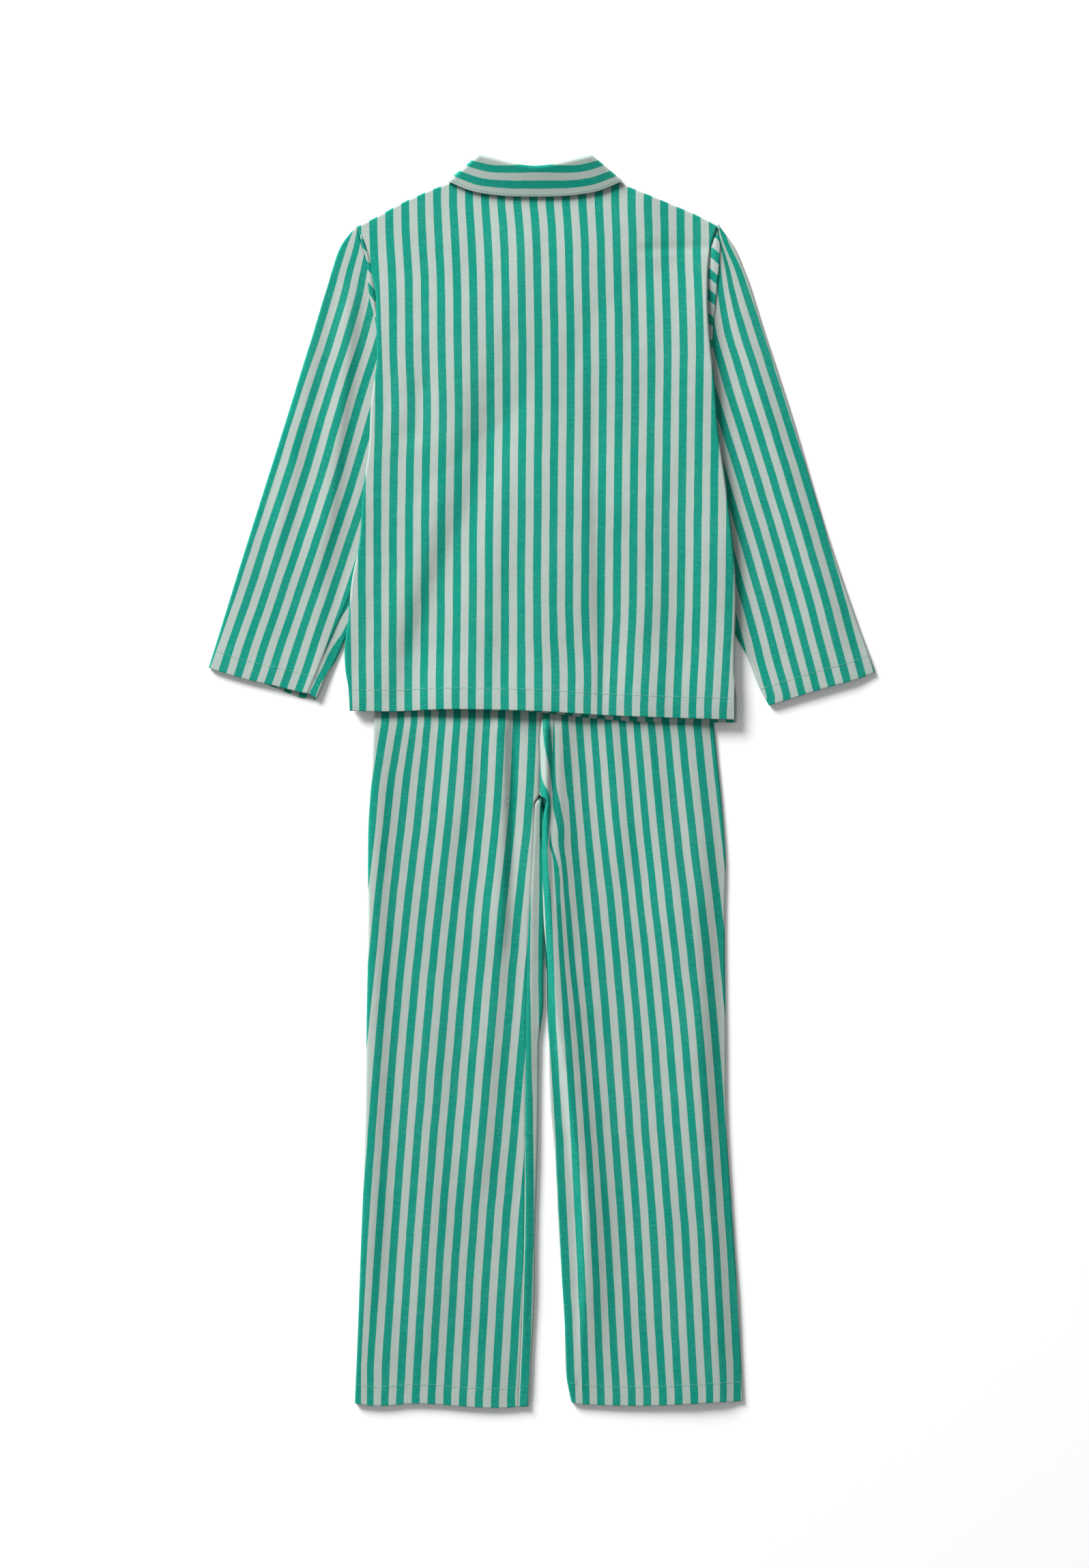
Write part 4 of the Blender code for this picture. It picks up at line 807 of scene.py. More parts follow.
def weave_group():
    """Yarn-dyed plain weave: stripes along the warp, slubs, flecks of weft and the bumps of yarns."""
    tree = bpy.data.node_groups.new("yarn_dyed_weave", "ShaderNodeTree")
    socket(tree, "Grain", "Vector")
    socket(tree, "Pair", "Float", STRIPE_PAIR * MM)
    socket(tree, "Green", "Color", GREEN)
    socket(tree, "Pale", "Color", PALE)
    for name, kind in (("Color", "Color"), ("Height", "Float"), ("Fuzz", "Float")):
        socket(tree, name, kind, output=True)
    n = Nodes(tree)
    given, out = n.add("NodeGroupInput").outputs, n.add("NodeGroupOutput").inputs
    across, along = n.add("ShaderNodeSeparateXYZ", {0: given["Grain"]}).outputs[:2]

    def noise(wide, long, detail, seed):
        """Noise whose lumps are that many millimetres wide and long."""
        u, v = n.math("MULTIPLY", across, 1 / (wide * MM)), n.math("MULTIPLY", along, 1 / (long * MM))
        place = n.add("ShaderNodeCombineXYZ", {0: u, 1: v, 2: seed}).outputs[0]
        inputs = {"Vector": place, "Scale": 1.0, "Detail": detail, "Roughness": 0.6}
        return n.add("ShaderNodeTexNoise", inputs, noise_dimensions="3D").outputs[0]

    # stripes, with edges that step from yarn to yarn
    ragged = n.math("MULTIPLY", n.math("SUBTRACT", noise(30.0, 0.9, 2.0, 1.5), 0.5), 0.35 * MM)
    drift = n.math("MULTIPLY", n.math("SUBTRACT", noise(40.0, 28.0, 1.0, 4.5), 0.5), 0.9 * MM)
    place = n.math("ADD", across, n.math("ADD", ragged, drift))
    phase = n.math("DIVIDE", place, given["Pair"])
    off = n.math("ABSOLUTE", n.math("SUBTRACT", n.math("FRACT", n.math("ADD", phase, 0.5)), 0.5))
    pale_share = n.range(off, 0.240, 0.262)

    # the warp's own variation, the weft that shows through it, and slow mottling
    warp = n.range(noise(0.75, 55.0, 2.0, 7.5), 0.25, 0.75, -1.0, 1.0)
    weft = n.range(noise(7.0, 0.7, 3.0, 11.5), 0.25, 0.75, -1.0, 1.0)
    fleck = n.range(noise(2.6, 0.8, 3.0, 17.5), 0.56, 0.74)
    cloud = n.range(noise(45.0, 70.0, 3.0, 23.5), 0.3, 0.7, -1.0, 1.0)
    speck = n.range(noise(0.75, 0.6, 2.0, 29.5), 0.3, 0.7, -1.0, 1.0)

    frost = n.total(0.008, (weft, 0.03), (fleck, 0.12), (speck, 0.045), (cloud, 0.015), clamp=True)
    dyed = n.tone(given["Green"], n.total(0.92, (weft, 0.07), (speck, 0.06)))
    green = n.mix(frost, dyed, given["Pale"])
    tinge = n.math("MULTIPLY", n.total(0.5, (weft, 0.5)), 0.05)
    pale = n.mix(tinge, given["Pale"], given["Green"])
    colour = n.mix(pale_share, green, pale)
    n.link(n.tone(colour, n.total(1.0, (warp, 0.035), (cloud, 0.02))), out["Color"])

    # yarns over and under
    turn = math.tau / (YARN_PITCH * MM)
    waves = [n.math("SINE", n.math("MULTIPLY", way, turn)) for way in (across, along)]
    bumps = n.math("MULTIPLY", n.math("MULTIPLY", *waves), 0.3)
    n.link(n.total(bumps, (weft, 0.5), (warp, 0.35), (fleck, 0.4)), out["Height"])
    n.link(n.total(0.5, (weft, 0.3), clamp=True), out["Fuzz"])
    return tree


WEAVE = weave_group()


def new_material(name):
    """A material, a hand for adding nodes to it and the inputs of its shader."""
    material = bpy.data.materials.new(name)
    material.use_nodes = True
    return material, Nodes(material.node_tree), material.node_tree.nodes["Principled BSDF"].inputs


def cotton(name):
    """Striped cotton poplin that reads its stripes from the piece's grain."""
    material, n, shader = new_material(name)
    grain = n.add("ShaderNodeUVMap", uv_map="Grain").outputs[0]
    weave = n.add("ShaderNodeGroup", node_tree=WEAVE)
    weave = n.fill(weave, {"Grain": grain}).outputs
    bump = n.add("ShaderNodeBump", {"Height": weave["Height"], "Distance": 0.00005, "Strength": 0.6})
    n.link(weave["Color"], shader["Base Color"])
    n.link(n.range(weave["Fuzz"], 0.0, 1.0, 0.78, 0.92), shader["Roughness"])
    n.link(bump.outputs[0], shader["Normal"])
    shader["Specular IOR Level"].default_value = 0.12
    shader["Sheen Weight"].default_value = 0.02
    shader["Sheen Roughness"].default_value = 0.5
    return material


def mottled(name, texture, dark, light, rough=None):
    """A material whose colour, and roughness if given, vary with a noise; and its shader's inputs."""
    material, n, shader = new_material(name)
    place = n.add("ShaderNodeTexCoord").outputs["Object"]
    noise = n.add("ShaderNodeTexNoise", {"Vector": place, **texture}).outputs[0]
    n.link(n.mix(noise, (*dark, 1.0), (*light, 1.0)), shader["Base Color"])
    if rough:
        n.link(n.range(noise, 0.3, 0.7, *rough), shader["Roughness"])
    return material, shader


def sewing_thread():
    """Mint thread, with a twist along each stitch."""
    texture = {"Scale": 2500.0, "Detail": 2.0}
    return mottled("sewing_thread", texture, (0.12, 0.37, 0.28), (0.22, 0.49, 0.39), (0.45, 0.65))[0]


def button_resin():
    texture = {"Scale": 220.0, "Detail": 4.0, "Distortion": 1.5}
    material, shader = mottled("button_resin", texture, (0.55, 0.62, 0.56), (0.82, 0.86, 0.80), (0.22, 0.4))
    shader["Coat Weight"].default_value = 0.2
    return material


def paper_white():
    texture = {"Scale": 900.0, "Detail": 3.0}
    material, shader = mottled("paper_white", texture, (0.975, 0.975, 0.975), (1.0, 1.0, 1.0))
    shader["Roughness"].default_value = 0.95
    shader["Specular IOR Level"].default_value = 0.0
    return material


# ---- Stitches -------------------------------------------------------------------------------------

STITCH_SIZE = {"Pitch": 2.2 * MM, "Length": 1.5 * MM, "Radius": 0.28 * MM}
STITCH_LIFT = HALF + 0.05  # middle of the thread over the middle of the cloth
STITCH_SEED = 7


def stitch_tree(material):
    """Geometry nodes: lays one small rounded stitch after another along a line."""
    tree = bpy.data.node_groups.new("row_of_stitches", "GeometryNodeTree")
    socket(tree, "Geometry", "Geometry")
    for name, value in STITCH_SIZE.items():
        socket(tree, name, "Float", value)
    socket(tree, "Unevenness", "Float", 0.12)
    socket(tree, "Seed", "Int", STITCH_SEED)
    socket(tree, "Geometry", "Geometry", output=True)
    n = Nodes(tree)
    given, out = n.add("NodeGroupInput").outputs, n.add("NodeGroupOutput").inputs
    line = n.add("GeometryNodeMeshToCurve", {0: given["Geometry"]}).outputs[0]
    spacing = {"Curve": line, "Length": given["Pitch"]}
    points = n.add("GeometryNodeCurveToPoints", spacing, mode="LENGTH").outputs
    ball = n.add("GeometryNodeMeshUVSphere", {"Segments": 6, "Rings": 5, "Radius": 1.0}).outputs[0]
    half_length = n.math("MULTIPLY", given["Length"], 0.5)
    size = n.add("ShaderNodeCombineXYZ", {0: given["Radius"], 1: given["Radius"], 2: half_length}).outputs[0]
    least = n.math("SUBTRACT", 1.0, given["Unevenness"])
    most = n.math("ADD", 1.0, given["Unevenness"])
    limits = {2: least, 3: most, 8: given["Seed"]}
    wander = n.add("FunctionNodeRandomValue", limits, data_type="FLOAT").outputs[1]
    scale = n.add("ShaderNodeVectorMath", {0: size, "Scale": wander}, operation="SCALE").outputs[0]
    laid = {"Points": points["Points"], "Instance": ball, "Rotation": points["Rotation"], "Scale": scale}
    laid = n.add("GeometryNodeInstanceOnPoints", laid).outputs[0]
    real = n.add("GeometryNodeRealizeInstances", {0: laid}).outputs[0]
    n.link(n.add("GeometryNodeSetMaterial", {"Geometry": real, "Material": material}).outputs[0], out[0])
    return tree


def input_id(tree, name):
    """The identifier of a tree's input, by its name."""
    for item in tree.interface.items_tree:
        if item.item_type == "SOCKET" and item.in_out == "INPUT" and item.name == name:
            return item.identifier
    raise KeyError(name)


def stitches(name, lines, material, tree):
    """One mesh of stitches along the lines, each a list of points in the tables' millimetres."""
    points, edges = [], []
    for line in lines:
        start = len(points)
        points += [tuple((np.array(p) - BOX_CENTRE) * MM) for p in line]
        edges += [(k, k + 1) for k in range(start, len(points) - 1)]
    mesh = bpy.data.meshes.new(name + "_line")
    mesh.from_pydata(points, edges, [])
    guide = add_object(name + "_line", mesh)
    sewing = guide.modifiers.new("stitches", "NODES")
    sewing.node_group = tree
    for key, value in {**STITCH_SIZE, "Seed": STITCH_SEED}.items():
        sewing[input_id(tree, key)] = value
    bpy.context.view_layer.update()
    graph = bpy.context.evaluated_depsgraph_get()
    made = bpy.data.meshes.new_from_object(guide.evaluated_get(graph), depsgraph=graph)
    bpy.data.objects.remove(guide)
    made.name = name
    made.materials.clear()
    made.materials.append(material)
    made.shade_smooth()
    return add_object(name, made)


# ---- Jacket ---------------------------------------------------------------------------------------

HEM_STEPS = (0.0, 0.12, 0.35, 0.7, 1.6, 3.2, 5.6, 8.2, 10.8, 13.2, 15.6, 17.6, 19.0, 20.0, 21.0, 22.4, 24.6)
HEM_ROW = 13  # the row of a hem's steps that its stitches follow
ARMHOLE_STEPS = (-3.0, -2.2, -1.5, -0.8, 0.0, 1.0, 2.5, 4.5, 6.5, 8.0, 10.0)
ARMHOLE_DIP = 1.3  # a sleeve goes in under the body this much lower


def body_plan(neck_dip):
    """Plan points of the jacket's body, down to its hem and up to the neck edge."""
    shoulder_left, shoulder_right = curve(SHOULDER_LEFT), curve(SHOULDER_RIGHT)

    def top(x):
        offset = x - COLLAR_CENTRE
        neck = NECK_TOP - neck_dip * (1 - (offset / NECK_HALF) ** 2)
        rest = np.where(offset >= NECK_HALF, shoulder_right(x), neck)
        return np.where(offset <= -NECK_HALF, shoulder_left(x), rest)

    rows = steps_between(HEM_STEPS, 150, SIDE_CELLS)
    return panel_plan(body_left, body_right, back_hem, top, rows, BODY_COLUMNS)


def body_rolls(plan):
    """Angles round the side seams, open at the vents and the armholes, and round the shoulders."""
    seamed = ramp(plan[..., 1], SLIT_TOP - 4, SLIT_TOP + 8)
    across = RIGHT_ANGLE - (RIGHT_ANGLE - edge_angle(BODY_COLUMNS)) * seamed
    middle = plan[::-1, plan.shape[1] // 2]
    up = roll_angle(run_along(middle)[::-1])[:, None]
    beside_neck = abs(plan[..., 0] - COLLAR_CENTRE) > NECK_HALF - 0.5
    return across, np.where(beside_neck, up, RIGHT_ANGLE)


back_count = stripe_count(BACK_STRIPES)
HEM_FOLD = [(-200, 0.0), (-22, 0.0), (30, 0.22), (52, 0.12), (58, -0.1), (64, -0.12), (137, 0.0),
    (200, 0.0)]
hem_fold = curve(HEM_FOLD)


def back_grain(x, y):
    """Stripe count across the back; the small pleat at the hem narrows the stripes beside it."""
    return back_count(x, y) - hem_fold(x) * ramp(y, 170, 85)


def grain_of(count, along):
    """UVs in metres: across the stripes, and along them."""
    return np.stack([count * STRIPE_PAIR, np.broadcast_to(along, count.shape)], axis=-1) * MM


def hem_wall(distance, depth):
    """Half wall on the inside of a hem: its turning shows as a second layer."""
    return HALF + HEM_TURN * ramp(distance, depth + 1.0, depth)


def jacket_back():
    """The back, which rolls down to the side seams and over the shoulders."""
    plan = body_plan(BACK_NECK_DIP)
    x, y = plan[..., 0], plan[..., 1]
    height = back_height(x, y)
    seam = (height + front_height(x, y)) / 2
    points, normals = rolled_sheet(plan, height, seam, 1, *body_rolls(plan))
    rim = edge_round(y - back_hem(x), HEM_EDGE)
    inner = hem_wall(y - back_hem(x), BACK_HEM) * rim
    return shell("jacket_back_cloth", points, normals, HALF * rim, inner, grain_of(back_grain(x, y), y))


def jacket_front(side, span, height_at, hem_shift, vent_show, stripe_at, seed):
    """One front, from the body's left or right side to its own free edge."""
    plan = body_plan(FRONT_NECK_DIP)
    keep = (plan[40, :, 0] > span[0]) & (plan[40, :, 0] < span[1])
    x, y = plan[..., 0], plan[..., 1]
    height = height_at(x, y)
    seam = (back_height(x, y) + height) / 2
    rolls = body_rolls(plan)
    plan[..., 1] += hem_shift(x) * np.exp(-((y - back_hem(x)) / 25) ** 2)
    plan[:, -6:, 0] += vent_show * ramp(plan[:, -6:, 1], SLIT_TOP + 4, SLIT_TOP - 20)
    height = np.maximum(height + crumple(x, y, seed, 0.12, 60), FLOOR_LAYER)
    points, normals = rolled_sheet(plan, height, seam, -1, *rolls)
    rim = edge_round(y - back_hem(x), HEM_EDGE)
    inner = hem_wall(y - back_hem(x), BACK_HEM) * rim
    grain = grain_of((x - stripe_at) / STRIPE_PAIR, y)
    cut = (a[:, keep] for a in (points, normals, HALF * rim, inner, grain))
    return shell(f"jacket_front_{side}_cloth", *cut, flip=True)


def jacket_fronts():
    """The left front lies lowest; both lap at the centre, and their hems show past the back's."""
    left_edge, right_edge = FRONT_CENTRE + OVERLAP, FRONT_CENTRE - OVERLAP
    left = jacket_front("left", (-400, left_edge), front_height, lambda x: 2.0 + 0 * x, 0.0, -3.0, 21)
    right = jacket_front(
        "right", (right_edge, 400), inner_front_height, lambda x: -front_drop(x), SLIT_SHOW, -5.0, 22
    )  # fmt: skip
    return left, right


def sleeve_height(side):
    """Height of the upper layer of a sleeve, pressed at its outer fold and where the body lies on it."""
    outline, folds, mirror, seed = (SLEEVES[side][key] for key in ("outer", "folds", "mirror", "seed"))
    outer_fold = curve([(y, x) for x, y in outline])
    body_edge, reach, press = (body_left, 30, 0.1) if side == "left" else (body_right, 42, 0.75)

    def height(x, y):
        pressed = (1 - ramp((body_edge(y) - x) * mirror, 8, reach)) * ramp(y, 500, 440)
        flat = (1 - ramp((x - outer_fold(y)) * mirror, 0, EDGE_PRESS)) * press
        puff = (SLEEVE_PUFF + creases(folds, x, y, seed, 70, 0.3)) * (1 - pressed) * (1 - flat)
        return np.maximum(FLOOR_LAYER + LOOSE * (1 - flat / 2) + puff, FLOOR_LAYER + TOUCHING)

    return height


SEAM_STEP = 0.7  # the upper part of the left sleeve lies this much over its underarm seam
TUCK_WALL = 0.55  # half of a tuck's doubled cloth
TUCK_LIFT, TUCK_SINK = 0.25, 1.1  # how far its fold stands off the sleeve, and its root goes in
TUCK_INSET = 1.8
TUCK_TOP = 512
TUCK_SHARES = (0.0, 0.1, 0.25, 0.45, 0.65, 0.8, 0.9, 0.96, 1.0)


def sleeve_tuck(side):
    """The tuck of a sleeve head: doubled cloth beside the armhole, its fold lying on the sleeve."""
    lines, mirror = SLEEVES[side]["tuck"], SLEEVES[side]["mirror"]
    stripes, slant = SLEEVES[side]["tuck_stripes"], SLEEVES[side]["tuck_slant"]
    seam, fold = sorted(lines["seam"]), sorted(lines["fold"])
    seam_x, fold_x = curve(seam), curve(fold)
    low, high = max(seam[0][0], fold[0][0]), min(seam[-1][0], fold[-1][0], TUCK_TOP)
    share = np.array(TUCK_SHARES)[None, :]
    y = np.linspace(low, high, 90)[:, None] + 0 * share
    seam_at, fold_at = seam_x(y) + TUCK_INSET * mirror, fold_x(y)
    x = seam_at + (fold_at - seam_at) * share
    ends = ramp(y, low, low + 9) * ramp(y, high, high - 6)
    raised = ramp(share, 0.0, 0.5)
    z = sleeve_height(side)(x, y) + HALF + (TUCK_LIFT + TUCK_WALL * ends) * raised - TUCK_SINK * (1 - raised)
    points = np.dstack([x, y, z])
    if mirror > 0:
        points = points[:, ::-1]
    x, y = points[..., 0], points[..., 1]
    rim = edge_round(abs(x - fold_x(y)), 0.8) * ramp(ends, -0.4, 1.0)
    wall = TUCK_WALL * np.maximum(rim, 0.3)
    grain = grain_of(curve(sorted(stripes))(y + slant * abs(x - seam_x(y))), y)
    return shell(f"sleeve_{side}_tuck", points, surface_normals(points), wall, wall, grain)


def sleeve(side):
    """A sleeve as one flattened tube, its inner side tucked under the body; and its hem's stitch line."""
    cut, mirror, seed = SLEEVES[side], SLEEVES[side]["mirror"], SLEEVES[side]["seed"]
    ends = [np.array([cut[end][0], cut[end][-1]]).mean(axis=0) for end in ("cuff", "armhole")]
    centre, along = ends[0], (ends[1] - ends[0]) / np.linalg.norm(ends[1] - ends[0])
    across = np.array([along[1], -along[0]]) * mirror

    def local(points, swap=False):
        """A curve through the points, in the sleeve's own directions."""
        offset = np.array(points, float) - centre
        rows = np.stack([offset @ across, offset @ along], axis=1)
        return curve(rows[:, ::-1] if swap else rows)

    cuff_line, armhole_line = local(cut["cuff"]), local(cut["armhole"])
    rows = steps_between(tuple(SLEEVE_HEM / BACK_HEM * s for s in HEM_STEPS), 140, ARMHOLE_STEPS)
    columns = steps_between(LEG_CELLS, 34, ROLL_STEPS + SEAM_CELLS)
    sides = local(cut["outer"], True), local(cut["inner"], True)
    plan = panel_plan(*sides, cuff_line, armhole_line, rows, columns)
    seam_column = len(columns) - 1 - len(ROLL_STEPS) - SEAM_CELLS.index(SEAM_INSET)
    from_seam = np.full(plan.shape[:2], 100.0)
    if side == "left":
        inset = plan[:, -1:, 0] - plan[..., 0]
        pull = np.minimum(ramp(inset, ROLL, SEAM_INSET), ramp(inset, 36, SEAM_INSET))
        move = local(LEFT_SLEEVE_SEAM, True)(plan[:, seam_column, 1]) - plan[:, seam_column, 0]
        plan[..., 0] += move[:, None] * pull
        from_seam = plan[:, seam_column, 0][:, None] - plan[..., 0]
    world = centre + plan[..., :1] * across + plan[..., 1:] * along
    x, y = world[..., 0], world[..., 1]
    above_cuff = plan[..., 1] - cuff_line(plan[..., 0])
    past_armhole = plan[..., 1] - armhole_line(plan[..., 0])
    upper = sleeve_height(side)(x, y) + hem_pucker(above_cuff - SLEEVE_HEM, plan[..., 0], seed + 2)
    upper += SEAM_STEP * ramp(from_seam, 12, 0.6) * ramp(from_seam, -0.05, 0.3)
    upper += CUFF_RISE * ramp(above_cuff, 50, 6)
    upper -= ARMHOLE_DIP * ramp(past_armhole, -0.4, 2.0) * ramp(y, 430, 490)
    lower = np.full(upper.shape, FLOOR_LAYER)
    seam, angle = (upper + lower) / 2, edge_angle(columns)
    low_plan = plan.copy()
    if side == "left":
        low_plan[..., 1] -= curve(CUFF_PEEK)(x) * ramp(above_cuff, 40, 0) * ramp(x, -268, -262)
    sheets = rolled_sheet(plan, upper, seam, 1, angle), rolled_sheet(low_plan, lower, seam, -1, angle)
    to_world = np.array([[*across, 0], [*along, 0], [0, 0, 1]])
    points, normals = (round_edge(top, low) @ to_world for top, low in zip(*sheets))
    points = points + np.array([*centre, 0])
    rim = edge_round(above_cuff, HEM_EDGE)
    walls = [round_edge(wall, wall) for wall in (HALF * rim, hem_wall(above_cuff, SLEEVE_HEM) * rim)]
    count = stripe_count(cut["stripes"], SLEEVE_PAIR)(x, y)
    grain, low_grain = (grain_of(c, plan[..., 1]) for c in (count, 2 * count[:, :1] - count))
    past = None
    if side == "left":
        under = grain_of(stripe_count(LEFT_SLEEVE_UNDER_STRIPES)(x, y), plan[..., 1])
        past = (seam_column, round_edge(under, low_grain))
    grain = round_edge(grain, low_grain)
    obj = shell(f"sleeve_{side}_cloth", points, normals, *walls, grain, ring=True, flip=mirror < 0, past=past)
    return obj, (points[HEM_ROW] + normals[HEM_ROW] * STITCH_LIFT)[len(ROLL_STEPS) : plan.shape[1] - 3]


# ---- Collar ---------------------------------------------------------------------------------------

COLLAR_HALF = 0.6  # half of the collar's doubled cloth
COLLAR_CLEAR = 1.02  # lowest middle of the collar, so that its edge stitches clear the floor
COLLAR_PUFF = 1.5  # how loosely the collar is folded
COLLAR_DROP = 2.0  # the leaf lies this much lower on the back than its cut
COLLAR_EDGE_STRIPE = 11.4  # middle of the first green stripe, from the leaf's free edge
ROLL_FLATNESS = 0.45  # how deep the pressed roll is, as a share of a round one
ROLL_SETBACK = 0.2
COLLAR_RISE = 6.5  # how much higher the roll stands than the leaf's free edge
NECK_GAP = 0.9  # from the neck's cut edge to the collar's seam
FRONT_SEAM_END = -0.8


def collar_station(stand, roll, edge, turn):
    """Points across the collar, from its neck seam over the roll to the leaf's free edge."""
    lift, spread = math.sin(turn), math.cos(turn)
    out = np.array([-0.4, 0.1]) * spread
    stand_z = FLOOR_LAYER + COLLAR_LIFT + LOOSE / 2 + LOOSE / 2 * lift
    reach = (2 * LOOSE + COLLAR_LIFT + COLLAR_PUFF) / 2
    leaf_z = FLOOR_LAYER + reach + reach * lift
    stand_top = np.array([*(roll + out * LOOSE / 2), stand_z])
    leaf_top = np.array([*(roll + out * reach), leaf_z + COLLAR_RISE * max(lift, 0)])
    up = roll - (stand + edge) / 2
    up = np.array([*up, 0]) / np.linalg.norm(up)
    middle, arm = (stand_top + leaf_top) / 2, (leaf_top - stand_top) / 2
    radius = np.linalg.norm(arm)
    stand_end = np.array([*(stand + out * LOOSE / 2), stand_z])
    leaf_end = np.array([*(edge + out * reach), leaf_z])
    points = [stand_end + (stand_top - stand_end) * f for f in np.linspace(0, 1, 10)[:-1]]
    for a in np.radians(np.arange(0, 181, 20)):
        off = radius * (ROLL_FLATNESS * math.sin(a) - ROLL_SETBACK)
        points.append(middle - arm * math.cos(a) + up * off)
    leaf_top = leaf_top - up * (radius * ROLL_SETBACK)
    return points + [leaf_top + (leaf_end - leaf_top) * f for f in COLLAR_SPREAD]


COLLAR_SPREAD = [*np.linspace(0, 1, 20)[1:-1] * 0.97, 0.976, 0.988, 0.996, 1.0]


def neck_seam(dip, last):
    """A function of 0..1 along the neck edge, from its left end to the offset last."""

    def at(t):
        offset = -NECK_HALF + t * (last + NECK_HALF)
        return np.array([offset, NECK_TOP - dip * (1 - (offset / NECK_HALF) ** 2) + NECK_GAP])

    return at


def collar():
    """The folded collar, and the stitch line along its leaf's edge."""
    back_seam, front_seam = neck_seam(BACK_NECK_DIP, NECK_HALF), neck_seam(FRONT_NECK_DIP, FRONT_SEAM_END)
    back_lines = back_seam, line_through(BACK_ROLL), line_through(BACK_LEAF_EDGE)
    front_lines = front_seam, line_through(FRONT_ROLL), line_through(FRONT_LEAF_EDGE)
    front = [collar_station(*(line(t) for line in front_lines), -RIGHT_ANGLE) for t in np.linspace(1, 0, 26)]
    corner = front_lines[0](0), back_lines[1](0), back_lines[2](0)
    front += [collar_station(*corner, math.radians(turn)) for turn in range(-75, 76, 15)]
    back = [collar_station(*(line(t) for line in back_lines), RIGHT_ANGLE) for t in np.linspace(0, 1, 61)]
    front = np.array(front)
    points = np.concatenate([front, np.array(back), front[::-1] * np.array([-1, 1, 1])])
    points[..., 0] += COLLAR_CENTRE
    points[..., 2] = np.maximum(points[..., 2], COLLAR_CLEAR)
    points[..., 1] -= COLLAR_DROP * ramp(points[..., 2], FLOOR_LAYER + LOOSE, FLOOR_LAYER + 3 * LOOSE)
    normals = -surface_normals(points.transpose(1, 0, 2)).transpose(1, 0, 2)
    from_edge = np.array([run_along(station[::-1])[::-1] for station in points])
    grain = grain_of((from_edge - COLLAR_EDGE_STRIPE) / STRIPE_PAIR, run_along(points[:, -1])[:, None])
    station = np.arange(len(points))
    end = np.minimum(station, len(points) - 1 - station)[:, None] * 3.0
    thick = COLLAR_HALF * edge_round(from_edge, 0.5) * edge_round(end, 0.5)
    edge = points[:, -5] + normals[:, -5] * (COLLAR_HALF + 0.05)
    return shell("collar_cloth", points, normals, thick, thick, grain), edge[2:-2]


# ---- Trousers -------------------------------------------------------------------------------------

LEG_HEM_STEPS = tuple(LEG_HEM / BACK_HEM * s for s in HEM_STEPS)
LEG_ROWS = {"left": 230, "right": 440}
LEG_COLUMNS = {"left": 46, "right": 40}


def leg_plan(side, outer, inner, hem_line):
    """Plan points of a leg, the tuck of the right one on a column of its own; and its columns."""
    rows = steps_between(LEG_HEM_STEPS, LEG_ROWS[side], (0.0, 2.0))
    close = LEG_CELLS if side == "left" else LEG_CELLS + tuple(ROLL + 1.2 + 0.8 * k for k in range(1, 24))
    columns = steps_between(close, LEG_COLUMNS[side], LEG_CELLS)
    edges = (outer, inner) if side == "left" else (inner, outer)
    plan = panel_plan(*(curve(edge) for edge in edges), hem_line, lambda x: WAIST_SEAM + 0 * x, rows, columns)
    if side == "right":
        share, inward, _ = columns.T
        at = inward[LEG_TUCK_COLUMN]
        pull = np.minimum(ramp(inward, ROLL, at), ramp(inward, 2.3 * at, at)) * (share == 0)
        tuck_y = plan[:, LEG_TUCK_COLUMN, 1]
        move = (curve(LEG_TUCK)(tuck_y) - plan[:, LEG_TUCK_COLUMN, 0]) * ramp(tuck_y, *LEG_TUCK_FADE)
        plan[..., 0] += move[:, None] * pull[None, :]
    return plan, columns


def inseam_strip(inner_x, y, on_top, lean, seam, parted, height_at):
    """What the left leg's front shows past its inner fold, up to the seam on top: points, normals, grain."""
    share = np.array(STRIP_SHARES)[None, :]
    from_edge = on_top * share
    strip = np.dstack([inner_x - from_edge + lean * ramp(share, 0.45, 0.0), y + 0 * share])
    angle = RIGHT_ANGLE - (RIGHT_ANGLE - roll_angle(from_edge)) * parted
    height = height_at(strip[..., 0], strip[..., 1])
    height = height - INSEAM_DIP * ramp(from_edge, on_top - INSEAM_DIP_REACH, on_top)
    rise = np.sin(angle)
    z = seam + (height - seam) * rise
    z = np.where(y > CROTCH, np.minimum(z, seam), z)
    normals = surface_normals(np.dstack([strip, height])[:, ::-1])[:, ::-1]
    normals = normals * np.maximum(rise, 0.02)[..., None]
    normals[..., 0] += np.cos(angle)
    normals /= np.linalg.norm(normals, axis=2, keepdims=True)
    count = (strip[..., 0] - curve(LEFT_STRIP_STRIPE)(strip[..., 1])) / STRIPE_PAIR
    return np.dstack([strip, z]), normals, grain_of(count, strip[..., 1])


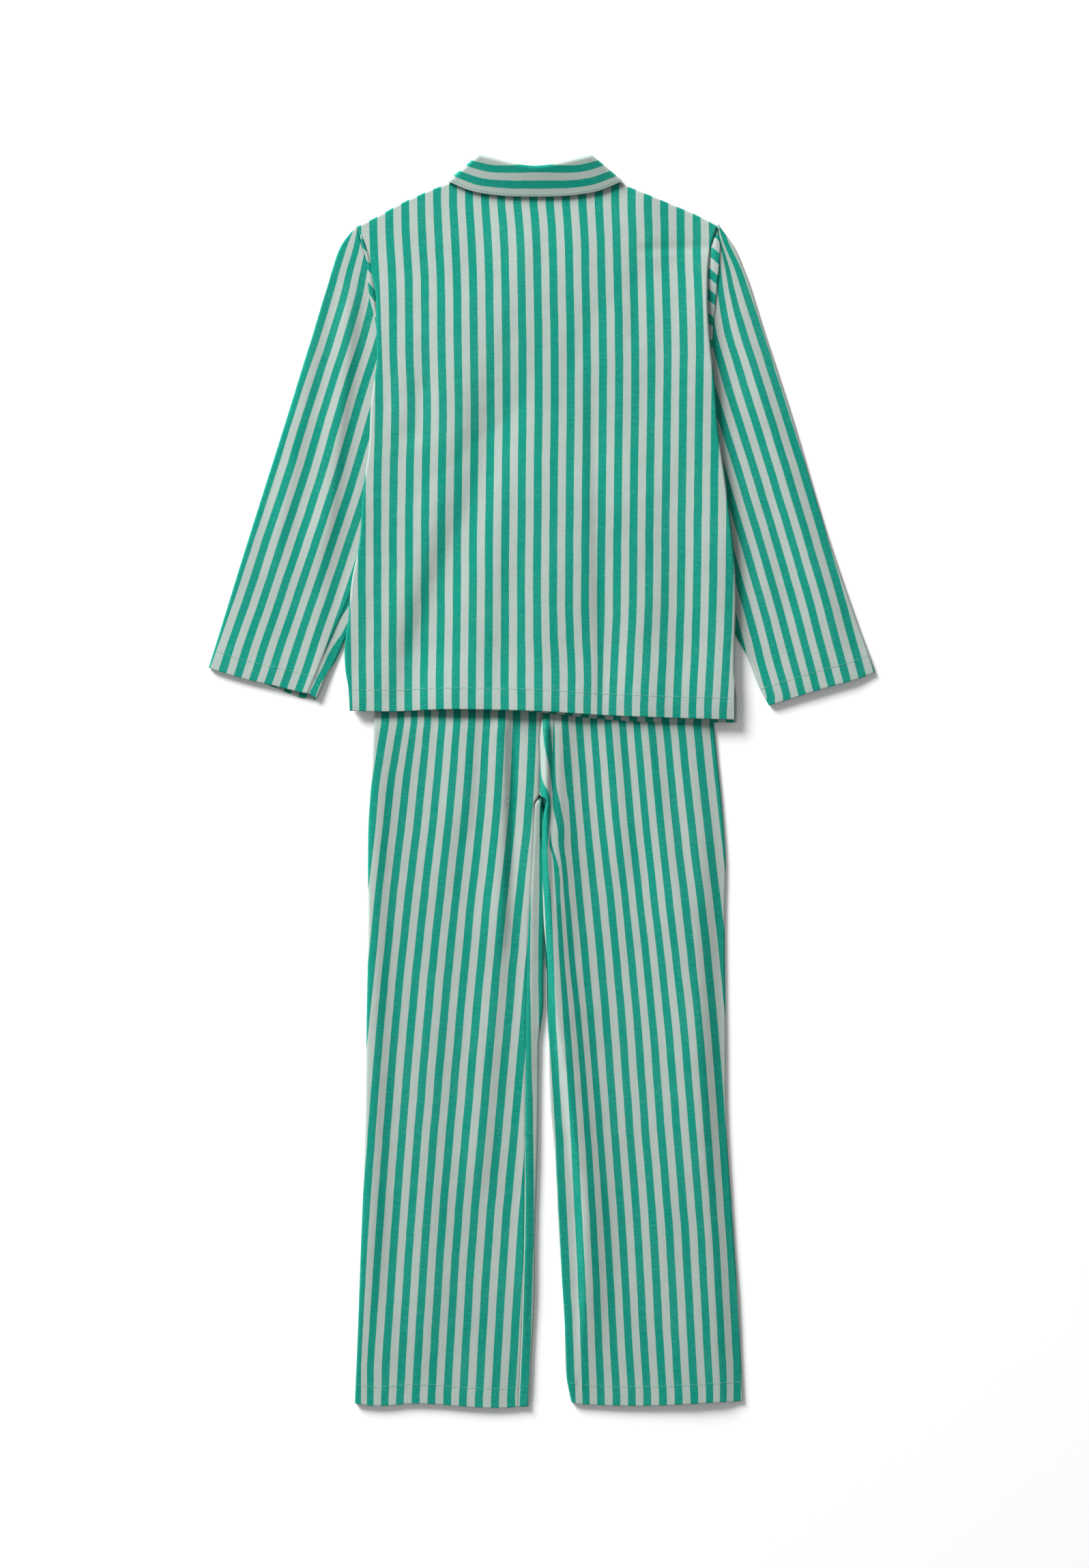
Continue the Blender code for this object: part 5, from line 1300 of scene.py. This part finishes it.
def leg_panels(side):
    """The back and the front of one leg, seamed along both sides; and the stitch line of its hem.

    The left leg has turned a little, so that its inseam lies on top: its front wraps round the
    inner fold and meets the back there.
    """
    outer, inner, hem, folds, stripes, seed = LEGS[side]
    left = side == "left"
    hem_line = curve(hem)
    height_at = leg_top_height(side, folds, seed, hem_line)
    plan, columns = leg_plan(side, outer, inner, hem_line)
    x, y = plan[..., 0], plan[..., 1]
    lower = np.full(x.shape, FLOOR_LAYER)
    seam = (height_at(x, y) + lower) / 2
    angle = np.broadcast_to(edge_angle(columns), x.shape).copy()
    half = plan.shape[1] // 2
    inner_side = slice(half, None) if left else slice(0, half)
    parted = ramp(y[:, inner_side], CROTCH + 6, CROTCH - 12)
    angle[:, inner_side] = RIGHT_ANGLE - (RIGHT_ANGLE - angle[:, inner_side]) * parted
    lean = INNER_SPREAD * ramp(y, -50, -75) * ramp(y, -250, -205) * (1 if left else -0.3)
    low_plan = plan.copy()
    low_plan[..., 0] += lean * ramp(abs(x - curve(inner)(y)), 14, 0)
    rim = edge_round(y - hem_line(x), HEM_EDGE)
    inside = hem_wall(y - hem_line(x), LEG_HEM) * rim
    front = [*rolled_sheet(low_plan, lower, seam, -1, angle)]
    front += [HALF * rim, inside, grain_of((low_plan[..., 0] - UNDER_STRIPE) / STRIPE_PAIR, y)]
    back_plan, back_angle = plan.copy(), angle
    if left:
        inner_x, inner_y = x[:, -1:], y[:, -1:]
        on_top = 0.2 + (inner_x - curve(LEFT_INSEAM)(inner_y)) * ramp(inner_y, CROTCH + 6, CROTCH - 4)
        back_plan[..., 0] = x[:, :1] + (x - x[:, :1]) * ((inner_x - on_top - x[:, :1]) / (inner_x - x[:, :1]))
        back_angle = angle.copy()
        back_angle[:, half:] = RIGHT_ANGLE
        points, normals, grain = inseam_strip(
            inner_x, inner_y, on_top, lean[:, -1:], seam[:, -1:], parted[:, -1:], height_at
        )  # fmt: skip
        walls = [np.repeat(wall[:, -1:], len(STRIP_SHARES), axis=1) for wall in (HALF * rim, inside)]
        front = [np.concatenate(pair, axis=1) for pair in zip(front, (points, normals, *walls, grain))]
    across, along = back_plan[..., 0], back_plan[..., 1]
    seam_gap = SEAM_GAP * ramp(along, -20, -8)
    if left:
        across += (curve(SEAM_DRIFT)(along) + seam_gap) * ramp(across, across[:, -1:] - 30, across[:, -1:])
    else:
        across += (curve(SEAM_DRIFT)(along) - seam_gap) * ramp(across, across[:, :1] + ROLL, across[:, :1])
        across += curve(CROTCH_NOTCH)(along) * ramp(across, across[:, :1] + 8, across[:, :1])
    upper = height_at(across, along)
    if left:
        upper = upper - INSEAM_DIP * ramp(across, across[:, -1:] - INSEAM_DIP_REACH, across[:, -1:])
    points, normals = rolled_sheet(back_plan, upper, seam, 1, back_angle)
    count, past = stripe_count(stripes), None
    if not left:
        count, after = (stripe_count(beside_tuck(lines)) for lines in (BEFORE_LEG_TUCK, AFTER_LEG_TUCK))
        past = (LEG_TUCK_COLUMN, grain_of(after(across, along), along))
    grain = grain_of(count(across, along), along)
    back = shell(f"leg_{side}_back_cloth", points, normals, HALF * rim, inside, grain, past=past)
    front = shell(f"leg_{side}_front_cloth", *front, flip=True)
    hem_row = points[HEM_ROW] + normals[HEM_ROW] * STITCH_LIFT
    return back, front, hem_row[len(ROLL_STEPS) : -len(ROLL_STEPS)]


def seat_row():
    """The line of the stitches beside the centre seam."""
    _, _, hem, folds, _, seed = LEGS["right"]
    ys = np.linspace(SEAT_STITCHES[0][0], SEAT_STITCHES[-1][0], 60)
    xs = curve(sorted(SEAT_STITCHES))(ys)
    return on_surface(xs, ys, leg_top_height("right", folds, seed, curve(hem)))


def waistband():
    """The elastic casing: one flattened ring over the top of the four leg panels."""
    columns = steps_between(LEG_CELLS, 90, LEG_CELLS)
    rows = steps_between((0.0, 0.3, 1.0), 10, (0.0, 0.3, 1.0))
    sides = curve(LEG_LEFT_OUTER), curve(LEG_RIGHT_OUTER)
    plan = panel_plan(*sides, lambda x: WAIST_SEAM + 0.3 + 0 * x, lambda x: WAIST_TOP + 0 * x, rows, columns)
    x, y = plan[..., 0], plan[..., 1]
    wave = np.sin(x * math.tau / 9.0 + 2 * np.sin(x / 17.0))
    gather = 0.25 * wave * np.sin((y - WAIST_SEAM) / 28 * math.pi)
    upper, lower = FLOOR_LAYER + LOOSE + gather, FLOOR_LAYER + abs(gather)
    seam, angle = (upper + lower) / 2, edge_angle(columns)
    layers = zip(rolled_sheet(plan, upper, seam, 1, angle), rolled_sheet(plan, lower, seam, -1, angle))
    points, normals = (round_edge(top, low) for top, low in layers)
    thick = np.full(points.shape[:2], HALF)
    grain = round_edge(grain_of(x / STRIPE_PAIR, y), grain_of(-x / STRIPE_PAIR, y))
    return shell("waistband_cloth", points, normals, thick, thick, grain, ring=True)


# ---- Camera, light and floor ----------------------------------------------------------------------

LENS, SENSOR = 85.0, 36.0
EYE = (0.0025, -0.0037, 3.4725)
SKY = 0.36
WINDOW_PLACE, WINDOW_SIZE, WINDOW_WATTS = (-4.0, 5.0, 2.9), 3.6, 1060.0
FLOOR = 6.0  # half of its width


def look_down():
    """A long lens straight above the set."""
    lens = bpy.data.cameras.new("camera")
    lens.lens = LENS
    lens.sensor_width = SENSOR
    camera = add_object("camera", lens)
    camera.location = EYE
    bpy.context.scene.camera = camera


def window_light(place, size, watts):
    """A round soft light that faces the middle of the set."""
    data = bpy.data.lights.new("window", "AREA")
    data.shape = "DISK"
    data.size = size
    data.energy = watts
    light = add_object("window", data)
    light.location = place
    x, y, z = place
    light.rotation_euler = (math.atan2(math.hypot(x, y), z), 0, math.atan2(-y, -x) - RIGHT_ANGLE)


def studio():
    """An even white sky, one low window light and the white floor."""
    scene = bpy.context.scene
    scene.view_settings.view_transform = "Standard"
    scene.world = bpy.data.worlds.new("studio")
    scene.world.use_nodes = True
    sky = scene.world.node_tree.nodes["Background"].inputs
    sky["Color"].default_value = (1.0, 1.0, 1.0, 1.0)
    sky["Strength"].default_value = SKY
    window_light(WINDOW_PLACE, WINDOW_SIZE, WINDOW_WATTS)
    corners = [(-FLOOR, -FLOOR, 0), (FLOOR, -FLOOR, 0), (FLOOR, FLOOR, 0), (-FLOOR, FLOOR, 0)]
    below = np.array([0, 0, -0.1])  # just clear of the cloth
    floor = put_mesh("floor", np.array(corners) / MM + BOX_CENTRE + below, np.array([[0, 1, 2, 3]]))
    floor.data.materials.append(paper_white())


# ---- Put together ---------------------------------------------------------------------------------


def dress(obj, node, sewn=()):
    """Gives a cloth piece its cotton, hides the CAD node it stands for, and attaches it and the pieces sewn
    to it to the root.
    """
    obj.data.materials.append(cotton(node + "_cotton"))
    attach(obj, "root")
    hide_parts(node)
    for piece in sewn:
        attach(piece, "root")


def on_surface(xs, ys, height):
    """The points of a thread that lies on the cloth."""
    return list(zip(xs, ys, height(xs, ys) + STITCH_LIFT))


def main():
    """Builds the camera, the studio and every piece, and gives the buttons their looks."""
    look_down()
    studio()
    thread = sewing_thread()
    tree = stitch_tree(thread)

    xs = np.linspace(-176, 176, 120)
    hem_row = on_surface(xs, back_hem(xs) + BACK_HEM, back_height)
    back = jacket_back()
    sewing = [stitches("jacket_hem_stitches", [hem_row], thread, tree)]
    dress(back, "jacket_back", sewn=sewing)
    front_left, front_right = jacket_fronts()
    dress(front_left, "jacket_front_left")
    dress(front_right, "jacket_front_right")
    tucks = [sleeve_tuck(side) for side in SLEEVES]
    tubes = [sleeve(side) for side in SLEEVES]
    for side, tuck, (tube, hem_row) in zip(SLEEVES, tucks, tubes):
        sewing = stitches(f"sleeve_{side}_hem_stitches", [hem_row], thread, tree)
        dress(tube, f"sleeve_{side}", sewn=[tuck, sewing])
        tuck.data.materials.append(tube.data.materials[0])
    collar_piece, edge = collar()
    sewing = [stitches("collar_edge_stitches", [edge], thread, tree)]
    dress(collar_piece, "collar", sewing)

    for side in LEGS:
        back, front, hem_row = leg_panels(side)
        rows = [hem_row] if side == "left" else [hem_row, seat_row()]
        sewing = [stitches(f"leg_{side}_hem_stitches", rows, thread, tree)]
        dress(back, f"leg_{side}_back", sewn=sewing)
        dress(front, f"leg_{side}_front")
    dress(waistband(), "waistband")

    resin = button_resin()
    for name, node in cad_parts.items():
        if name.startswith("button"):
            for place in node.material_slots:
                place.material = resin


main()
